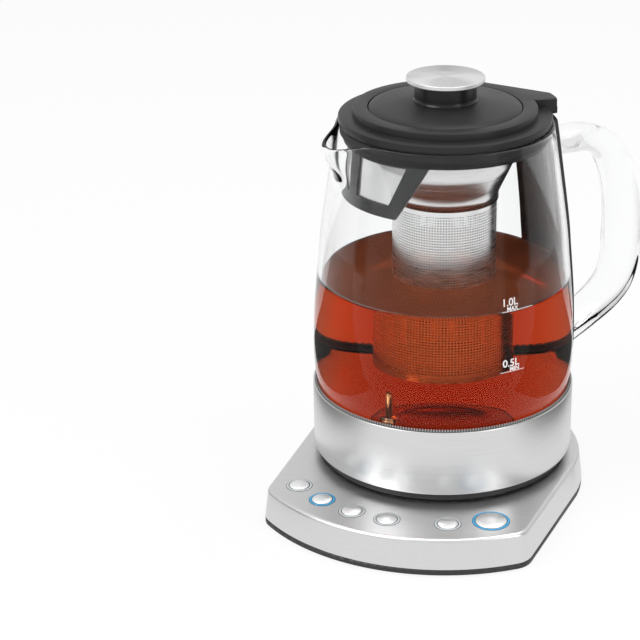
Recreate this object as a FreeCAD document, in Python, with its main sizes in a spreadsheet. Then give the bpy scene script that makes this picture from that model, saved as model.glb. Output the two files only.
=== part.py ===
"""Automatic tea maker: a glass kettle with an infuser, on a powered steel base.

Millimetres, +Z up.  The origin is on the kettle's turning axis at the table.
The base's front, with its six buttons, faces -Y.  Kettle, lid and filter are
drawn with the handle along +X and then turned together by handle_turn.
"""
import FreeCAD, Part
import math
import os

import Sketcher
from FreeCAD import Placement, Rotation, Vector

OUT = "parts"
os.makedirs(OUT, exist_ok=True)
doc = FreeCAD.newDocument("TeaMaker")
sheet = doc.addObject("Spreadsheet::Sheet", "Sizes")

# Driving dimensions: alias, value, meaning.
DRIVING = [
    # Power base, seen from above: rear and front edges are arcs about the kettle's axis.
    ("base_rear_radius", 78.4, "rear edge of the base, from the axis"),
    ("base_front_radius", 110.8, "front edge of the base, from the axis"),
    ("base_side_lean", 3.0, "lean of the side edges towards the front, degrees"),
    ("base_corner_radius", 13.0, "front corners in plan"),
    ("foot_drop", 1.0, "how far the feet stand out below the pan"),
    ("foot_radius", 6.5, "rubber foot"),
    ("foot_sink", 1.0, "depth of a foot's seat in the pan"),
    ("rim_height", 3.2, "black rim of the pan that shows"),
    ("pan_floor", 2.0, "thickness of the pan's floor"),
    ("pan_upstand", 4.0, "upstand above the rim"),
    ("pan_inset", 1.7, "upstand inside the cover's edge"),
    ("pan_wall", 1.8, "upstand inside the cover"),
    ("cover_height", 16.4, "steel cover, from the rim to its top"),
    ("cover_wall", 1.0, "steel sheet of the cover"),
    ("cover_taper", 7.0, "lean of the cover's side, degrees"),
    ("cover_edge", 2.2, "rolled edge round the cover's top"),
    ("seat_margin", 14.4, "rear edge of the base to the dish's opening"),
    ("seat_gap", 0.15, "gap round the dish"),
    ("seat_wall", 2.0, "thickness of the dish"),
    ("seat_lip", 2.4, "dish lip that laps over the cover"),
    ("seat_sink", 3.0, "depth of the dish's middle"),
    ("seat_skirt", 6.0, "collar of the dish below the cover"),
    # Connector
    ("plug_radius", 12.5, "central connector boss"),
    ("plug_height", 8.0, "boss above the dish's middle"),
    ("plug_bore", 4.2, "bore for the middle contact"),
    ("plug_fit", 0.1, "gap between the boss and the dish"),
    ("contact_width", 1.2, "contact rings"),
    ("socket_gap", 1.0, "gap between socket and boss all round"),
    ("socket_wall", 3.0, "wall of the socket"),
    # Buttons and their rings
    ("button_margin", 18.7, "buttons inside the base's front edge"),
    ("button_end", 21.57, "outermost button inside the base's side"),
    ("button_fifth", 46.9, "fifth button inside the base's side"),
    ("button_sixth", 26.63, "large button inside the base's side"),
    ("button_radius", 5.4, "small button cap"),
    ("button_large", 8.2, "large button cap"),
    ("button_rise", 0.7, "cap above the cover"),
    ("button_gap", 0.25, "gap round a cap"),
    ("button_stem", 2.0, "radius of the stem under a cap"),
    ("button_travel", 0.8, "travel of a button"),
    ("light_width", 1.25, "width of the light ring round a button"),
    ("light_rise", 0.25, "light ring above the cover"),
    ("light_depth", 3.2, "light ring, overall height"),
    # Electronics in the base
    ("board_thick", 1.6, "circuit boards"),
    ("board_level", 9.4, "underside of the control board"),
    ("board_width", 19.5, "width of the control board"),
    ("board_margin", 9.3, "control board inside the base's front edge"),
    ("board_side", 8.5, "control board inside the base's side"),
    ("switch_size", 6.0, "tact switch, square"),
    ("switch_height", 2.6, "tact switch body"),
    ("power_level", 6.2, "underside of the power board"),
    ("power_length", 71.4, "power board, side to side"),
    ("power_width", 44.0, "power board, front to rear"),
    ("power_post", 4.2, "posts inside the power board's edges"),
    ("post_radius", 3.0, "board posts of the pan"),
    ("screw_radius", 1.6, "pan screw shank"),
    ("screw_head", 3.0, "pan screw head"),
    ("screw_length", 9.0, "pan screw"),
    ("screw_margin", 8.6, "rear screws inside the base's rear edge"),
    ("screw_turn", 23.6, "rear screws, degrees from the rear"),
    ("screw_side", 15.9, "front screws inside the base's side"),
    ("screw_behind", 14.6, "front screws behind the outermost buttons"),
    ("foot_margin", 13.2, "rear feet inside the rear edge"),
    ("foot_side", 22.6, "front feet inside the base's side"),
    ("foot_front", 34.7, "front feet behind the front edge"),
    ("boss_radius", 4.0, "screw boss of the pan"),
    ("grommet_radius", 5.5, "cord grommet"),
    ("grommet_bore", 3.3, "bore for the cord"),
    ("grommet_length", 9.0, "cord grommet"),
    # Kettle
    ("handle_turn", 46.3, "turn of the kettle on its base, degrees"),
    ("jug_lift_gap", 0.1, "gap between the kettle's ring and the dish"),
    ("ring_over", 4.6, "black ring beyond the dish's opening"),
    ("ring_height", 4.2, "black ring"),
    ("ring_wall", 4.0, "black ring"),
    ("band_over", 2.8, "steel band beyond the black ring"),
    ("band_height", 36.5, "steel band"),
    ("band_wall", 1.0, "steel band"),
    ("bottom_thick", 2.0, "black closing plate"),
    ("plate_thick", 1.2, "heating plate"),
    ("plate_rise", 2.1, "plate's top above its seat"),
    ("cutout_radius", 9.0, "thermal cutout"),
    ("element_margin", 26.4, "heating element inside the glass"),
    ("element_tube", 4.0, "heating element tube"),
    ("glass_wall", 2.6, "glass wall"),
    ("seal_thick", 2.0, "gasket between band and glass"),
    ("glass_sink", 3.2, "glass below the band's top"),
    ("belly_swell", 2.4, "widest part of the glass beyond its foot"),
    ("glass_belly_rise", 19.5, "belly above the band's top"),
    ("glass_belly_bow", 470.0, "bow of the glass above the belly"),
    ("glass_foot_bow", 120.0, "bow of the glass below the belly"),
    ("shoulder_draw", 2.4, "shoulder of the glass inside its foot"),
    ("glass_shoulder_rise", 87.0, "that place above the band's top"),
    ("rim_draw", 8.7, "rim of the glass inside its shoulder"),
    ("glass_height", 146.6, "rim above the band's top"),
    ("seal_height", 5.0, "ribbed gasket"),
    ("seal_floor", 0.8, "gasket under the glass"),
    ("seal_rise", 0.7, "gasket above the band's top"),
    ("seal_gap", 0.05, "gap round the gasket"),
    ("lip_stand", 12.3, "tip of the pouring lip beyond the rim"),
    ("lip_radius", 17.0, "pouring lip at its top, in plan"),
    ("lip_foot_radius", 12.0, "pouring lip at its foot, in plan"),
    ("lip_drop", 4.2, "lip's top below the rim"),
    ("lip_height", 24.0, "height of the pouring lip"),
    ("handle_stand", 42.4, "middle of the grip beyond the widest part"),
    ("handle_lead", 13.9, "straight start of the top bar beyond the rim"),
    ("handle_sink", 2.1, "start of the top bar inside the rim"),
    ("handle_top_thick", 7.4, "half thickness of the top bar"),
    ("handle_grip_thick", 10.2, "half thickness of the grip"),
    ("handle_half_width", 10.8, "half width of the handle"),
    ("handle_top_drop", 20.5, "top bar's middle below the rim"),
    ("handle_root_rise", 3.7, "lower root above the band's top"),
    ("spine_thick", 2.2, "black strip behind the handle"),
    ("spine_half_angle", 25.0, "half angle of the strip, degrees"),
    ("sensor_clear", 4.0, "sensor beyond the heating element"),
    ("sensor_turn", -149.0, "temperature sensor, degrees from the handle"),
    ("sensor_radius", 1.9, "sensor pin"),
    ("sensor_height", 15.0, "sensor pin above the plate"),
    ("sensor_collar", 5.0, "sensor collar"),
    # Lid
    ("lid_margin", 1.3, "lid flange inside the glass's rim"),
    ("lid_seat_gap", 0.3, "lid flange above the glass rim"),
    ("lid_edge", 3.8, "thickness of the flange"),
    ("lid_step", 7.6, "width of the flange outside the raised ring"),
    ("lid_raised_height", 4.2, "raised ring above the flange"),
    ("lid_land", 7.8, "width of the raised ring"),
    ("ledge_width", 3.2, "ledge that carries the infuser"),
    ("lid_ledge_drop", 6.9, "ledge below the raised ring's top"),
    ("lid_ledge_thick", 2.0, "ledge"),
    ("skirt_clear", 1.3, "gap between skirt and glass"),
    ("skirt_wall", 2.2, "skirt"),
    ("skirt_drop", 9.0, "skirt below the flange"),
    ("hub_drop", 11.0, "inner tube below the flange"),
    ("tab_over", 6.2, "tab beyond the flange"),
    ("tab_half_angle", 15.4, "half angle of the tab, degrees"),
    ("lid_seal_bulge", 1.8, "lid gasket beyond the skirt"),
    ("filter_top_bar", 1.4, "top bar of the frame"),
    ("filter_thick", 2.4, "filter frame"),
    ("filter_top_angle", 58.2, "half angle of the frame at its top, degrees"),
    ("filter_foot_angle", 39.7, "half angle of the frame at its foot, degrees"),
    ("filter_height", 30.7, "filter frame below the skirt"),
    ("filter_bar", 5.6, "bottom bar of the frame"),
    ("filter_leg", 8.4, "side legs of the frame"),
    ("filter_post", 4.4, "half width of the middle post at its foot"),
    ("filter_post_top", 9.5, "half width of the middle post at its top"),
    ("filter_mesh_thick", 0.4, "filter mesh"),
    # Infuser
    ("funnel_rim_clear", 0.5, "gap round the infuser's rim"),
    ("funnel_clear", 0.8, "gap between infuser and ledge"),
    ("funnel_wall", 0.8, "infuser sheet"),
    ("funnel_straight", 21.0, "straight part of the funnel"),
    ("funnel_cone", 17.0, "cone of the funnel"),
    ("sieve_step", 8.6, "funnel's neck beyond the sieve"),
    ("sieve_length", 97.0, "sieve tube"),
    ("sieve_wall", 0.5, "sieve tube"),
    ("floor_thick", 0.6, "sieve floor"),
    ("floor_dish", 2.0, "drawn-up middle of the sieve floor"),
    # Infuser lid and knob
    ("disc_clear", 0.4, "gap round the infuser lid and its spigot"),
    ("disc_edge", 0.3, "infuser lid at its edge"),
    ("disc_crown", 3.2, "rise of the infuser lid's middle"),
    ("disc_spigot_drop", 4.0, "spigot below the ledge"),
    ("neck_radius", 16.3, "black neck of the knob"),
    ("neck_height", 8.6, "black neck of the knob"),
    ("knob_over", 4.3, "knob cap beyond its neck"),
    ("knob_thick", 3.8, "steel knob cap"),
    ("knob_edge", 1.0, "rounded edge of the knob cap"),
]
for row, (alias, value, note) in enumerate(DRIVING, start=1):
    sheet.set("A%d" % row, note)
    sheet.set("B%d" % row, str(value))
    sheet.setAlias("B%d" % row, alias)
doc.recompute()


class Size:
    """A length or angle as an expression of the sheet, with its present value."""

    def __init__(self, text, value):
        self.text = text
        self.value = float(value)

    def mix(self, sign, other, value, turned=False):
        """Joins two sizes, or a size and a number, into one expression."""
        other_text = other.text if isinstance(other, Size) else repr(float(other))
        pair = (other_text, self.text) if turned else (self.text, other_text)
        return Size("(%s %s %s)" % (pair[0], sign, pair[1]), value)

    def __add__(self, other):
        return self.mix("+", other, self.value + number(other))

    def __radd__(self, other):
        return self.mix("+", other, self.value + number(other), True)

    def __sub__(self, other):
        return self.mix("-", other, self.value - number(other))

    def __rsub__(self, other):
        return self.mix("-", other, number(other) - self.value, True)

    def __mul__(self, other):
        return self.mix("*", other, self.value * number(other))

    def __rmul__(self, other):
        return self.mix("*", other, self.value * number(other), True)

    def __truediv__(self, other):
        return self.mix("/", other, self.value / number(other))

    def __neg__(self):
        return Size("(0 - %s)" % self.text, -self.value)


def number(thing):
    """The present value of a size or of a plain number."""
    return thing.value if isinstance(thing, Size) else float(thing)


def cosine(angle):
    """Cosine of an angle in degrees."""
    return Size("cos(%s * 1 deg)" % angle.text, math.cos(math.radians(angle.value)))


def sine(angle):
    """Sine of an angle in degrees."""
    return Size("sin(%s * 1 deg)" % angle.text, math.sin(math.radians(angle.value)))


def arcsine(share):
    """Angle in degrees whose sine is a share."""
    return Size("(asin(%s) / 1 deg)" % share.text, math.degrees(math.asin(share.value)))


class Sizes:
    """Reads the sheet's aliases as attributes."""

    def __getattr__(self, alias):
        return Size("Sizes.%s" % alias, sheet.get(alias))


d = Sizes()
finished = {}


def bind(thing, name, size):
    """Ties one property of an object to the sheet."""
    if isinstance(size, Size):
        thing.setExpression(name, size.text)
    else:
        setattr(thing, name, size)


def finish_node(thing, node):
    """Names a sub-part; its label is its file's name."""
    thing.Label = node
    finished[node] = thing
    return thing


def turn(thing, angle, x=0.0, y=0.0, z=0.0):
    """Places an object: turned about Z by an angle, then moved."""
    thing.Placement = Placement(Vector(number(x), number(y), number(z)),
                                Rotation(Vector(0, 0, 1), number(angle)))
    if isinstance(angle, Size):
        thing.setExpression("Placement.Rotation.Angle", angle.text)
    for axis, place in (("x", x), ("y", y), ("z", z)):
        if isinstance(place, Size):
            thing.setExpression("Placement.Base." + axis, place.text)


def body(name):
    """A new PartDesign body."""
    return doc.addObject("PartDesign::Body", name)


def plane_of(part, role):
    """One of a body's own origin planes."""
    return [item for item in part.Origin.OriginFeatures if item.Role == role][0]


def sketch_on(part, role, name, level=None):
    """A sketch on one of the body's origin planes, raised by level."""
    sketch = part.newObject("Sketcher::SketchObject", name)
    sketch.AttachmentSupport = (plane_of(part, role), "")
    sketch.MapMode = "FlatFace"
    if level is not None:
        sketch.AttachmentOffset = Placement(Vector(0, 0, number(level)), Rotation())
        if isinstance(level, Size):
            sketch.setExpression("AttachmentOffset.Base.z", level.text)
    return sketch


def hold(sketch, *constraint):
    """Adds a constraint; a size at its end is tied to the sheet."""
    last = constraint[-1]
    plain = constraint[:-1] + (number(last),) if isinstance(last, Size) else constraint
    index = sketch.addConstraint(Sketcher.Constraint(*plain))
    if isinstance(last, Size):
        sketch.setExpression("Constraints[%d]" % index, last.text)
    return index


def fix_point(sketch, edge, end, across, up):
    """Holds the end of an edge at a place given from the sketch's origin."""
    for kind, place in (("DistanceX", across), ("DistanceY", up)):
        hold(sketch, kind, -1, 1, edge, end, place)


def outline(sketch, corners):
    """A closed outline through corners (across, up[, bow, side]).

    bow is the radius of the arc that leads to the next corner.  It bulges to
    the right of the way along where side is 1, and to the left where it is -1.
    """
    count = len(corners)
    edges = []
    for index, corner in enumerate(corners):
        ahead = corners[(index + 1) % count]
        start = Vector(number(corner[0]), number(corner[1]), 0)
        end = Vector(number(ahead[0]), number(ahead[1]), 0)
        if len(corner) < 4:
            edges.append((sketch.addGeometry(Part.LineSegment(start, end), False), 1, 2))
            continue
        bow, side = corner[2], corner[3]
        radius = number(bow)
        half = (end - start).Length / 2
        across = Vector(end.y - start.y, start.x - end.x, 0).normalize() * side
        centre = (start + end) * 0.5 - across * math.sqrt(max(radius ** 2 - half ** 2, 0.0))
        angles = [math.atan2(spot.y - centre.y, spot.x - centre.x) for spot in (start, end)]
        ends = (1, 2) if side > 0 else (2, 1)
        if side < 0:
            angles.reverse()
        arc = Part.ArcOfCircle(Part.Circle(centre, Vector(0, 0, 1), radius), *angles)
        edge = sketch.addGeometry(arc, False)
        edges.append((edge, ends[0], ends[1]))
        hold(sketch, "Radius", edge, bow)
    for index, (edge, first, last) in enumerate(edges):
        after, after_first, _ = edges[(index + 1) % count]
        hold(sketch, "Coincident", edge, last, after, after_first)
        fix_point(sketch, edge, first, corners[index][0], corners[index][1])
    return edges


def circle(sketch, across, up, radius):
    """A circle at a place given from the sketch's origin."""
    spot = Vector(number(across), number(up), 0)
    edge = sketch.addGeometry(Part.Circle(spot, Vector(0, 0, 1), number(radius)), False)
    hold(sketch, "Radius", edge, radius)
    fix_point(sketch, edge, 3, across, up)


def pad(part, sketch, length, name="Pad"):
    """Pads a sketch."""
    feature = part.newObject("PartDesign::Pad", name)
    feature.Profile = sketch
    bind(feature, "Length", length)
    return feature


def pocket(part, sketch, length, name="Pocket", upward=False):
    """Cuts a sketch out of the body, downwards unless upward is set."""
    feature = part.newObject("PartDesign::Pocket", name)
    feature.Profile = sketch
    feature.Reversed = upward
    bind(feature, "Length", length)
    return feature


def revolve(name, corners, cut=None, angle=360.0):
    """A body turned about Z from corners (radius, height[, bow])."""
    part = body(name)
    profile = sketch_on(part, "XZ_Plane", name + "Profile")
    outline(profile, corners)
    feature = part.newObject("PartDesign::Revolution", name + "Turned")
    feature.Profile = profile
    feature.ReferenceAxis = (profile, ["V_Axis"])
    bind(feature, "Angle", angle)
    feature.Midplane = True
    if cut:
        hollow = sketch_on(part, "XZ_Plane", name + "Hollow")
        outline(hollow, cut)
        groove = part.newObject("PartDesign::Groove", name + "Groove")
        groove.Profile = hollow
        groove.ReferenceAxis = (hollow, ["V_Axis"])
        groove.Angle = 360.0
    return part


def turned(node, corners, angle=0.0, cut=None):
    """A turned sub-part, finished and placed."""
    part = revolve("".join(word.title() for word in node.split("_")), corners, cut)
    turn(part, angle)
    return finish_node(part, node)


def box(name, length, width, height):
    """A Part box centred on its own X and Y."""
    thing = doc.addObject("Part::Box", name)
    for key, size in (("Length", length), ("Width", width), ("Height", height)):
        bind(thing, key, size)
    return thing


def rod(name, radius, height):
    """A Part cylinder."""
    thing = doc.addObject("Part::Cylinder", name)
    bind(thing, "Radius", radius)
    bind(thing, "Height", height)
    return thing


def group(node, things):
    """Several separate solids in one node."""
    thing = doc.addObject("Part::Compound", node.title().replace("_", ""))
    thing.Links = things
    return finish_node(thing, node)


# Radii about the kettle's axis, each from the one that carries or surrounds it.
seat_radius = d.base_rear_radius - d.seat_margin
button_circle = d.base_front_radius - d.button_margin
board_outer = d.base_front_radius - d.board_margin
board_inner = board_outer - d.board_width
ring_radius = seat_radius + d.ring_over
band_radius = ring_radius + d.band_over
glass_foot = band_radius - d.band_wall - d.seal_thick
glass_belly = glass_foot + d.belly_swell
glass_shoulder = glass_foot - d.shoulder_draw
glass_rim = glass_shoulder - d.rim_draw
lip_reach = glass_rim + d.lip_stand
handle_reach = glass_belly + d.handle_stand
element_radius = glass_foot - d.element_margin
sensor_circle = element_radius + d.element_tube + d.sensor_clear
lid_radius = glass_rim - d.lid_margin
lid_raised = lid_radius - d.lid_step
lid_mouth = lid_raised - d.lid_land
lid_ledge = lid_mouth - d.ledge_width
skirt_radius = glass_rim - d.glass_wall - d.skirt_clear
tab_reach = lid_radius + d.tab_over
filter_top_half = (skirt_radius - d.skirt_wall) * sine(d.filter_top_angle)
filter_foot_half = (skirt_radius - d.skirt_wall) * sine(d.filter_foot_angle)
funnel_rim = lid_mouth - d.funnel_rim_clear
funnel_neck = lid_ledge - d.funnel_clear
sieve_radius = funnel_neck - d.sieve_step
disc_radius = lid_mouth - d.disc_clear
disc_spigot = funnel_neck - d.funnel_wall - d.disc_clear
knob_radius = d.neck_radius + d.knob_over

# Levels above the table, each from the one below it.
pan_level = d.foot_drop
rim_level = pan_level + d.rim_height
cover_level = rim_level + d.cover_height
dish_level = cover_level - d.seat_sink
ring_level = cover_level + d.seat_lip * 0.5 + d.jug_lift_gap
band_level = ring_level + d.ring_height
band_top = band_level + d.band_height
glass_level = band_top - d.glass_sink
plate_level = glass_level - d.seal_floor
rim_top = band_top + d.glass_height
flange_level = rim_top + d.lid_seat_gap
flange_top = flange_level + d.lid_edge
raised_top = flange_top + d.lid_raised_height
ledge_level = raised_top - d.lid_ledge_drop


def base_outline(sketch, inset):
    """The base in plan, drawn inset: two arcs about the axis, sides and rounded corners."""
    rear = d.base_rear_radius - inset
    front = d.base_front_radius - inset
    corner = d.base_corner_radius - inset
    lean = math.radians(d.base_side_lean.value)
    r_rear, r_front, r_corner = rear.value, front.value, corner.value
    # A corner's centre lies r_corner inside the side line and r_front - r_corner from the axis.
    inside = Vector(r_rear - r_corner * math.cos(lean), r_corner * math.sin(lean), 0)
    way = Vector(-math.sin(lean), -math.cos(lean), 0)
    along = inside.dot(way)
    reach = (r_front - r_corner) ** 2 - inside.dot(inside)
    centre = inside + way * (math.sqrt(along * along + reach) - along)
    touch = centre + Vector(math.cos(lean), -math.sin(lean), 0) * r_corner
    low = centre * (r_front / (r_front - r_corner))
    up = Vector(0, 0, 1)
    zero = Vector(0, 0, 0)
    low_turn = math.atan2(low.y, low.x)
    mirror = [Vector(-spot.x, spot.y, 0) for spot in (touch, centre)]
    rear_arc = sketch.addGeometry(
        Part.ArcOfCircle(Part.Circle(zero, up, r_rear), 0.0, math.pi), False)
    left = sketch.addGeometry(Part.LineSegment(Vector(-r_rear, 0, 0), mirror[0]), False)
    left_corner = sketch.addGeometry(Part.ArcOfCircle(
        Part.Circle(mirror[1], up, r_corner), math.pi + lean, math.pi - low_turn), False)
    front_arc = sketch.addGeometry(Part.ArcOfCircle(
        Part.Circle(zero, up, r_front), -math.pi - low_turn, low_turn), False)
    right_corner = sketch.addGeometry(Part.ArcOfCircle(
        Part.Circle(centre, up, r_corner), low_turn, -lean), False)
    right = sketch.addGeometry(Part.LineSegment(touch, Vector(r_rear, 0, 0)), False)
    for arc, radius in ((rear_arc, rear), (front_arc, front), (left_corner, corner),
                        (right_corner, corner)):
        hold(sketch, "Radius", arc, radius)
    for arc in (rear_arc, front_arc):
        hold(sketch, "Coincident", arc, 3, -1, 1)
    hold(sketch, "PointOnObject", rear_arc, 1, -1)
    hold(sketch, "PointOnObject", rear_arc, 2, -1)
    hold(sketch, "Coincident", rear_arc, 2, left, 1)
    hold(sketch, "Coincident", right, 2, rear_arc, 1)
    hold(sketch, "Tangent", left, 2, left_corner, 1)
    hold(sketch, "Tangent", left_corner, 2, front_arc, 1)
    hold(sketch, "Tangent", front_arc, 2, right_corner, 1)
    hold(sketch, "Tangent", right_corner, 2, right, 1)
    turn_right = sketch.addConstraint(
        Sketcher.Constraint("Angle", -2, 1, right, 1, -lean))
    turn_left = sketch.addConstraint(Sketcher.Constraint("Angle", left, 2, -2, 1, -lean))
    for index in (turn_right, turn_left):
        sketch.setExpression("Constraints[%d]" % index,
                             "(0 - Sizes.base_side_lean) * 1 deg")


def spots(circle_radius, angle):
    """A place in plan: on a circle, at an angle from the front."""
    return circle_radius * sine(angle), -(circle_radius * cosine(angle))


end_angle = arcsine((d.base_rear_radius - d.button_end) / button_circle)
fifth_angle = arcsine((d.base_rear_radius - d.button_fifth) / button_circle)
sixth_angle = arcsine((d.base_rear_radius - d.button_sixth) / button_circle)
BUTTONS = [(-end_angle, d.button_radius), (end_angle * (-2 / 3), d.button_radius),
           (end_angle * (-1 / 3), d.button_radius), (end_angle * 0, d.button_radius),
           (fifth_angle, d.button_radius), (sixth_angle, d.button_large)]
rear_foot = (d.base_rear_radius - d.foot_margin) * 0.7071
front_foot = d.base_rear_radius - d.foot_side
foot_back = d.foot_front - d.base_front_radius
FEET = [(rear_foot, rear_foot), (-rear_foot, rear_foot),
        (front_foot, foot_back), (-front_foot, foot_back)]
rear_screw = d.base_rear_radius - d.screw_margin
screw_across = rear_screw * sine(d.screw_turn)
screw_back = rear_screw * cosine(d.screw_turn)
board_half = arcsine((d.base_rear_radius - d.board_side) / board_outer)
front_x = d.base_rear_radius - d.screw_side
front_y = d.screw_behind - button_circle * cosine(end_angle)
SCREWS = [(screw_across, screw_back), (-screw_across, screw_back),
          (front_x, front_y), (-front_x, front_y)]
floor_top = pan_level + d.pan_floor
cord_level = rim_level + d.grommet_radius + 1.0

# ---- Base cover ----
cover = body("BaseCover")
cover_plan = sketch_on(cover, "XY_Plane", "CoverPlan", rim_level)
base_outline(cover_plan, d.foot_drop * 0)
block = pad(cover, cover_plan, d.cover_height, "CoverBlock")
block.setExpression("TaperAngle", "0 - Sizes.cover_taper")
doc.recompute()
top_edges = ["Edge%d" % (index + 1) for index, edge in enumerate(block.Shape.Edges)
             if min(v.Z for v in edge.Vertexes) > cover_level.value - 0.01]
rolled = cover.newObject("PartDesign::Fillet", "CoverEdge")
rolled.Base = (block, top_edges)
bind(rolled, "Radius", d.cover_edge)
cavity_plan = sketch_on(cover, "XY_Plane", "CavityPlan", rim_level)
base_outline(cavity_plan, d.cover_wall)
cavity = pocket(cover, cavity_plan, d.cover_height - d.cover_wall, "Cavity", True)
cavity.setExpression("TaperAngle", "0 - Sizes.cover_taper")
seat_plan = sketch_on(cover, "XY_Plane", "SeatPlan", cover_level)
circle(seat_plan, 0.0, 0.0, seat_radius)
pocket(cover, seat_plan, d.cover_wall * 3, "SeatOpening")
holes_plan = sketch_on(cover, "XY_Plane", "ButtonHolesPlan", cover_level)
for angle, cap in BUTTONS:
    x, y = spots(button_circle, angle)
    circle(holes_plan, x, y, cap + d.button_gap + d.light_width)
pocket(cover, holes_plan, d.cover_wall * 3, "ButtonHoles")
boss_plan = sketch_on(cover, "XY_Plane", "BossPlan", floor_top)
for x, y in SCREWS:
    circle(boss_plan, x, y, d.boss_radius)
pad(cover, boss_plan, cover_level - d.cover_wall * 0.5 - floor_top, "Bosses")
thread_plan = sketch_on(cover, "XY_Plane", "ThreadPlan", floor_top)
for x, y in SCREWS:
    circle(thread_plan, x, y, d.screw_radius)
pocket(cover, thread_plan, d.screw_length, "Threads", True)
cord_plan = sketch_on(cover, "XZ_Plane", "CordPlan")
circle(cord_plan, 0.0, cord_level, d.grommet_radius)
pocket(cover, cord_plan, d.base_rear_radius * 2, "CordHole", False)
finish_node(cover, "base_cover")

# ---- Base pan ----
pan = body("BasePan")
pan_plan = sketch_on(pan, "XY_Plane", "PanPlan", pan_level)
base_outline(pan_plan, d.foot_drop * 0)
pad(pan, pan_plan, d.rim_height, "PanBlock")
upstand_plan = sketch_on(pan, "XY_Plane", "UpstandPlan", rim_level)
base_outline(upstand_plan, d.pan_inset)
pad(pan, upstand_plan, d.pan_upstand, "Upstand")
inside_plan = sketch_on(pan, "XY_Plane", "InsidePlan", floor_top)
base_outline(inside_plan, d.pan_inset + d.pan_wall)
pocket(pan, inside_plan, d.rim_height + d.pan_upstand, "PanInside", True)
control_posts = sketch_on(pan, "XY_Plane", "ControlPosts", floor_top)
for share in (-0.83, -0.17, 0.27, 0.71):
    x, y = spots(button_circle, end_angle * share)
    circle(control_posts, x, y, d.post_radius)
pad(pan, control_posts, d.board_level - floor_top, "ControlPostsPad")
power_posts = sketch_on(pan, "XY_Plane", "PowerPosts", floor_top)
for x, y in ((-1, -1), (1, -1), (1, 1), (-1, 1)):
    circle(power_posts, (d.power_length * 0.5 - d.power_post) * x,
           (d.power_width * 0.5 - d.power_post) * y, d.post_radius)
pad(pan, power_posts, d.power_level - floor_top, "PowerPostsPad")
foot_plan = sketch_on(pan, "XY_Plane", "FootSeats", pan_level)
for x, y in FEET:
    circle(foot_plan, x, y, d.foot_radius)
pocket(pan, foot_plan, d.foot_sink, "FootSeatsCut", True)
head_plan = sketch_on(pan, "XY_Plane", "HeadSeats", pan_level)
for x, y in SCREWS:
    circle(head_plan, x, y, d.screw_head)
pocket(pan, head_plan, d.pan_floor * 0.6, "HeadSeatsCut", True)
shank_plan = sketch_on(pan, "XY_Plane", "ShankHoles", pan_level)
for x, y in SCREWS:
    circle(shank_plan, x, y, d.screw_radius)
pocket(pan, shank_plan, d.pan_floor * 2, "ShankHolesCut", True)
pan_cord = sketch_on(pan, "XZ_Plane", "PanCordPlan")
circle(pan_cord, 0.0, cord_level, d.grommet_radius)
pocket(pan, pan_cord, d.base_rear_radius * 2, "PanCordHole", False)
finish_node(pan, "base_pan")


def rods(names, places, radius, height, level):
    """Equal upright rods at places in plan."""
    things = []
    for index, (x, y) in enumerate(places, start=1):
        thing = rod("%s%d" % (names, index), radius, height)
        turn(thing, 0.0, x, y, level)
        things.append(thing)
    return things


# ---- Feet and screws ----
group("rubber_feet", rods("Foot", FEET, d.foot_radius, pan_level + d.foot_sink, 0.0))
shanks = rods("Shank", SCREWS, d.screw_radius, d.screw_length, pan_level + d.pan_floor * 0.5)
heads = rods("Head", SCREWS, d.screw_head, d.pan_floor * 0.5, pan_level + d.pan_floor * 0.1)
screws = []
for index, pair in enumerate(zip(heads, shanks), start=1):
    screw = doc.addObject("Part::Fuse", "PanScrew%d" % index)
    screw.Base, screw.Tool = pair
    screws.append(screw)
group("pan_screws", screws)

# ---- Seat dish and connector ----
lip_top = cover_level + d.seat_lip * 0.5
dish_out = seat_radius - d.seat_gap
turned("seat_dish", [
    (d.plug_radius + d.plug_fit, dish_level - d.seat_wall),
    (dish_out - d.seat_wall, dish_level - d.seat_wall),
    (dish_out - d.seat_wall, cover_level - d.seat_skirt),
    (dish_out, cover_level - d.seat_skirt), (dish_out, cover_level),
    (seat_radius + d.seat_lip, cover_level), (seat_radius + d.seat_lip, lip_top),
    (dish_out - d.seat_wall, lip_top), (dish_out - d.seat_wall * 2, dish_level),
    (d.plug_radius + d.plug_fit, dish_level)])
board_top = d.power_level + d.board_thick
plug_top = dish_level + d.plug_height
turned("connector_plug", [
    (0.0, board_top), (d.plug_radius + 3.5, board_top),
    (d.plug_radius + 3.5, dish_level - d.seat_wall),
    (d.plug_radius, dish_level - d.seat_wall), (d.plug_radius, plug_top),
    (d.plug_bore, plug_top), (d.plug_bore, board_top + 2.0), (0.0, board_top + 2.0)])
contacts = []
for index, reach in enumerate((d.plug_bore + d.contact_width * 2, d.plug_bore + d.contact_width * 5)):
    contact = revolve("ContactRing%d" % index, [
        (reach, plug_top), (reach + d.contact_width, plug_top),
        (reach + d.contact_width, plug_top + 0.4), (reach, plug_top + 0.4)])
    contacts.append(contact)
contacts += rods("ContactPin", [(0.0, 0.0)], d.contact_width, d.plug_height + 4.0, board_top + 2.0)
group("contact_rings", contacts)

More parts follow.
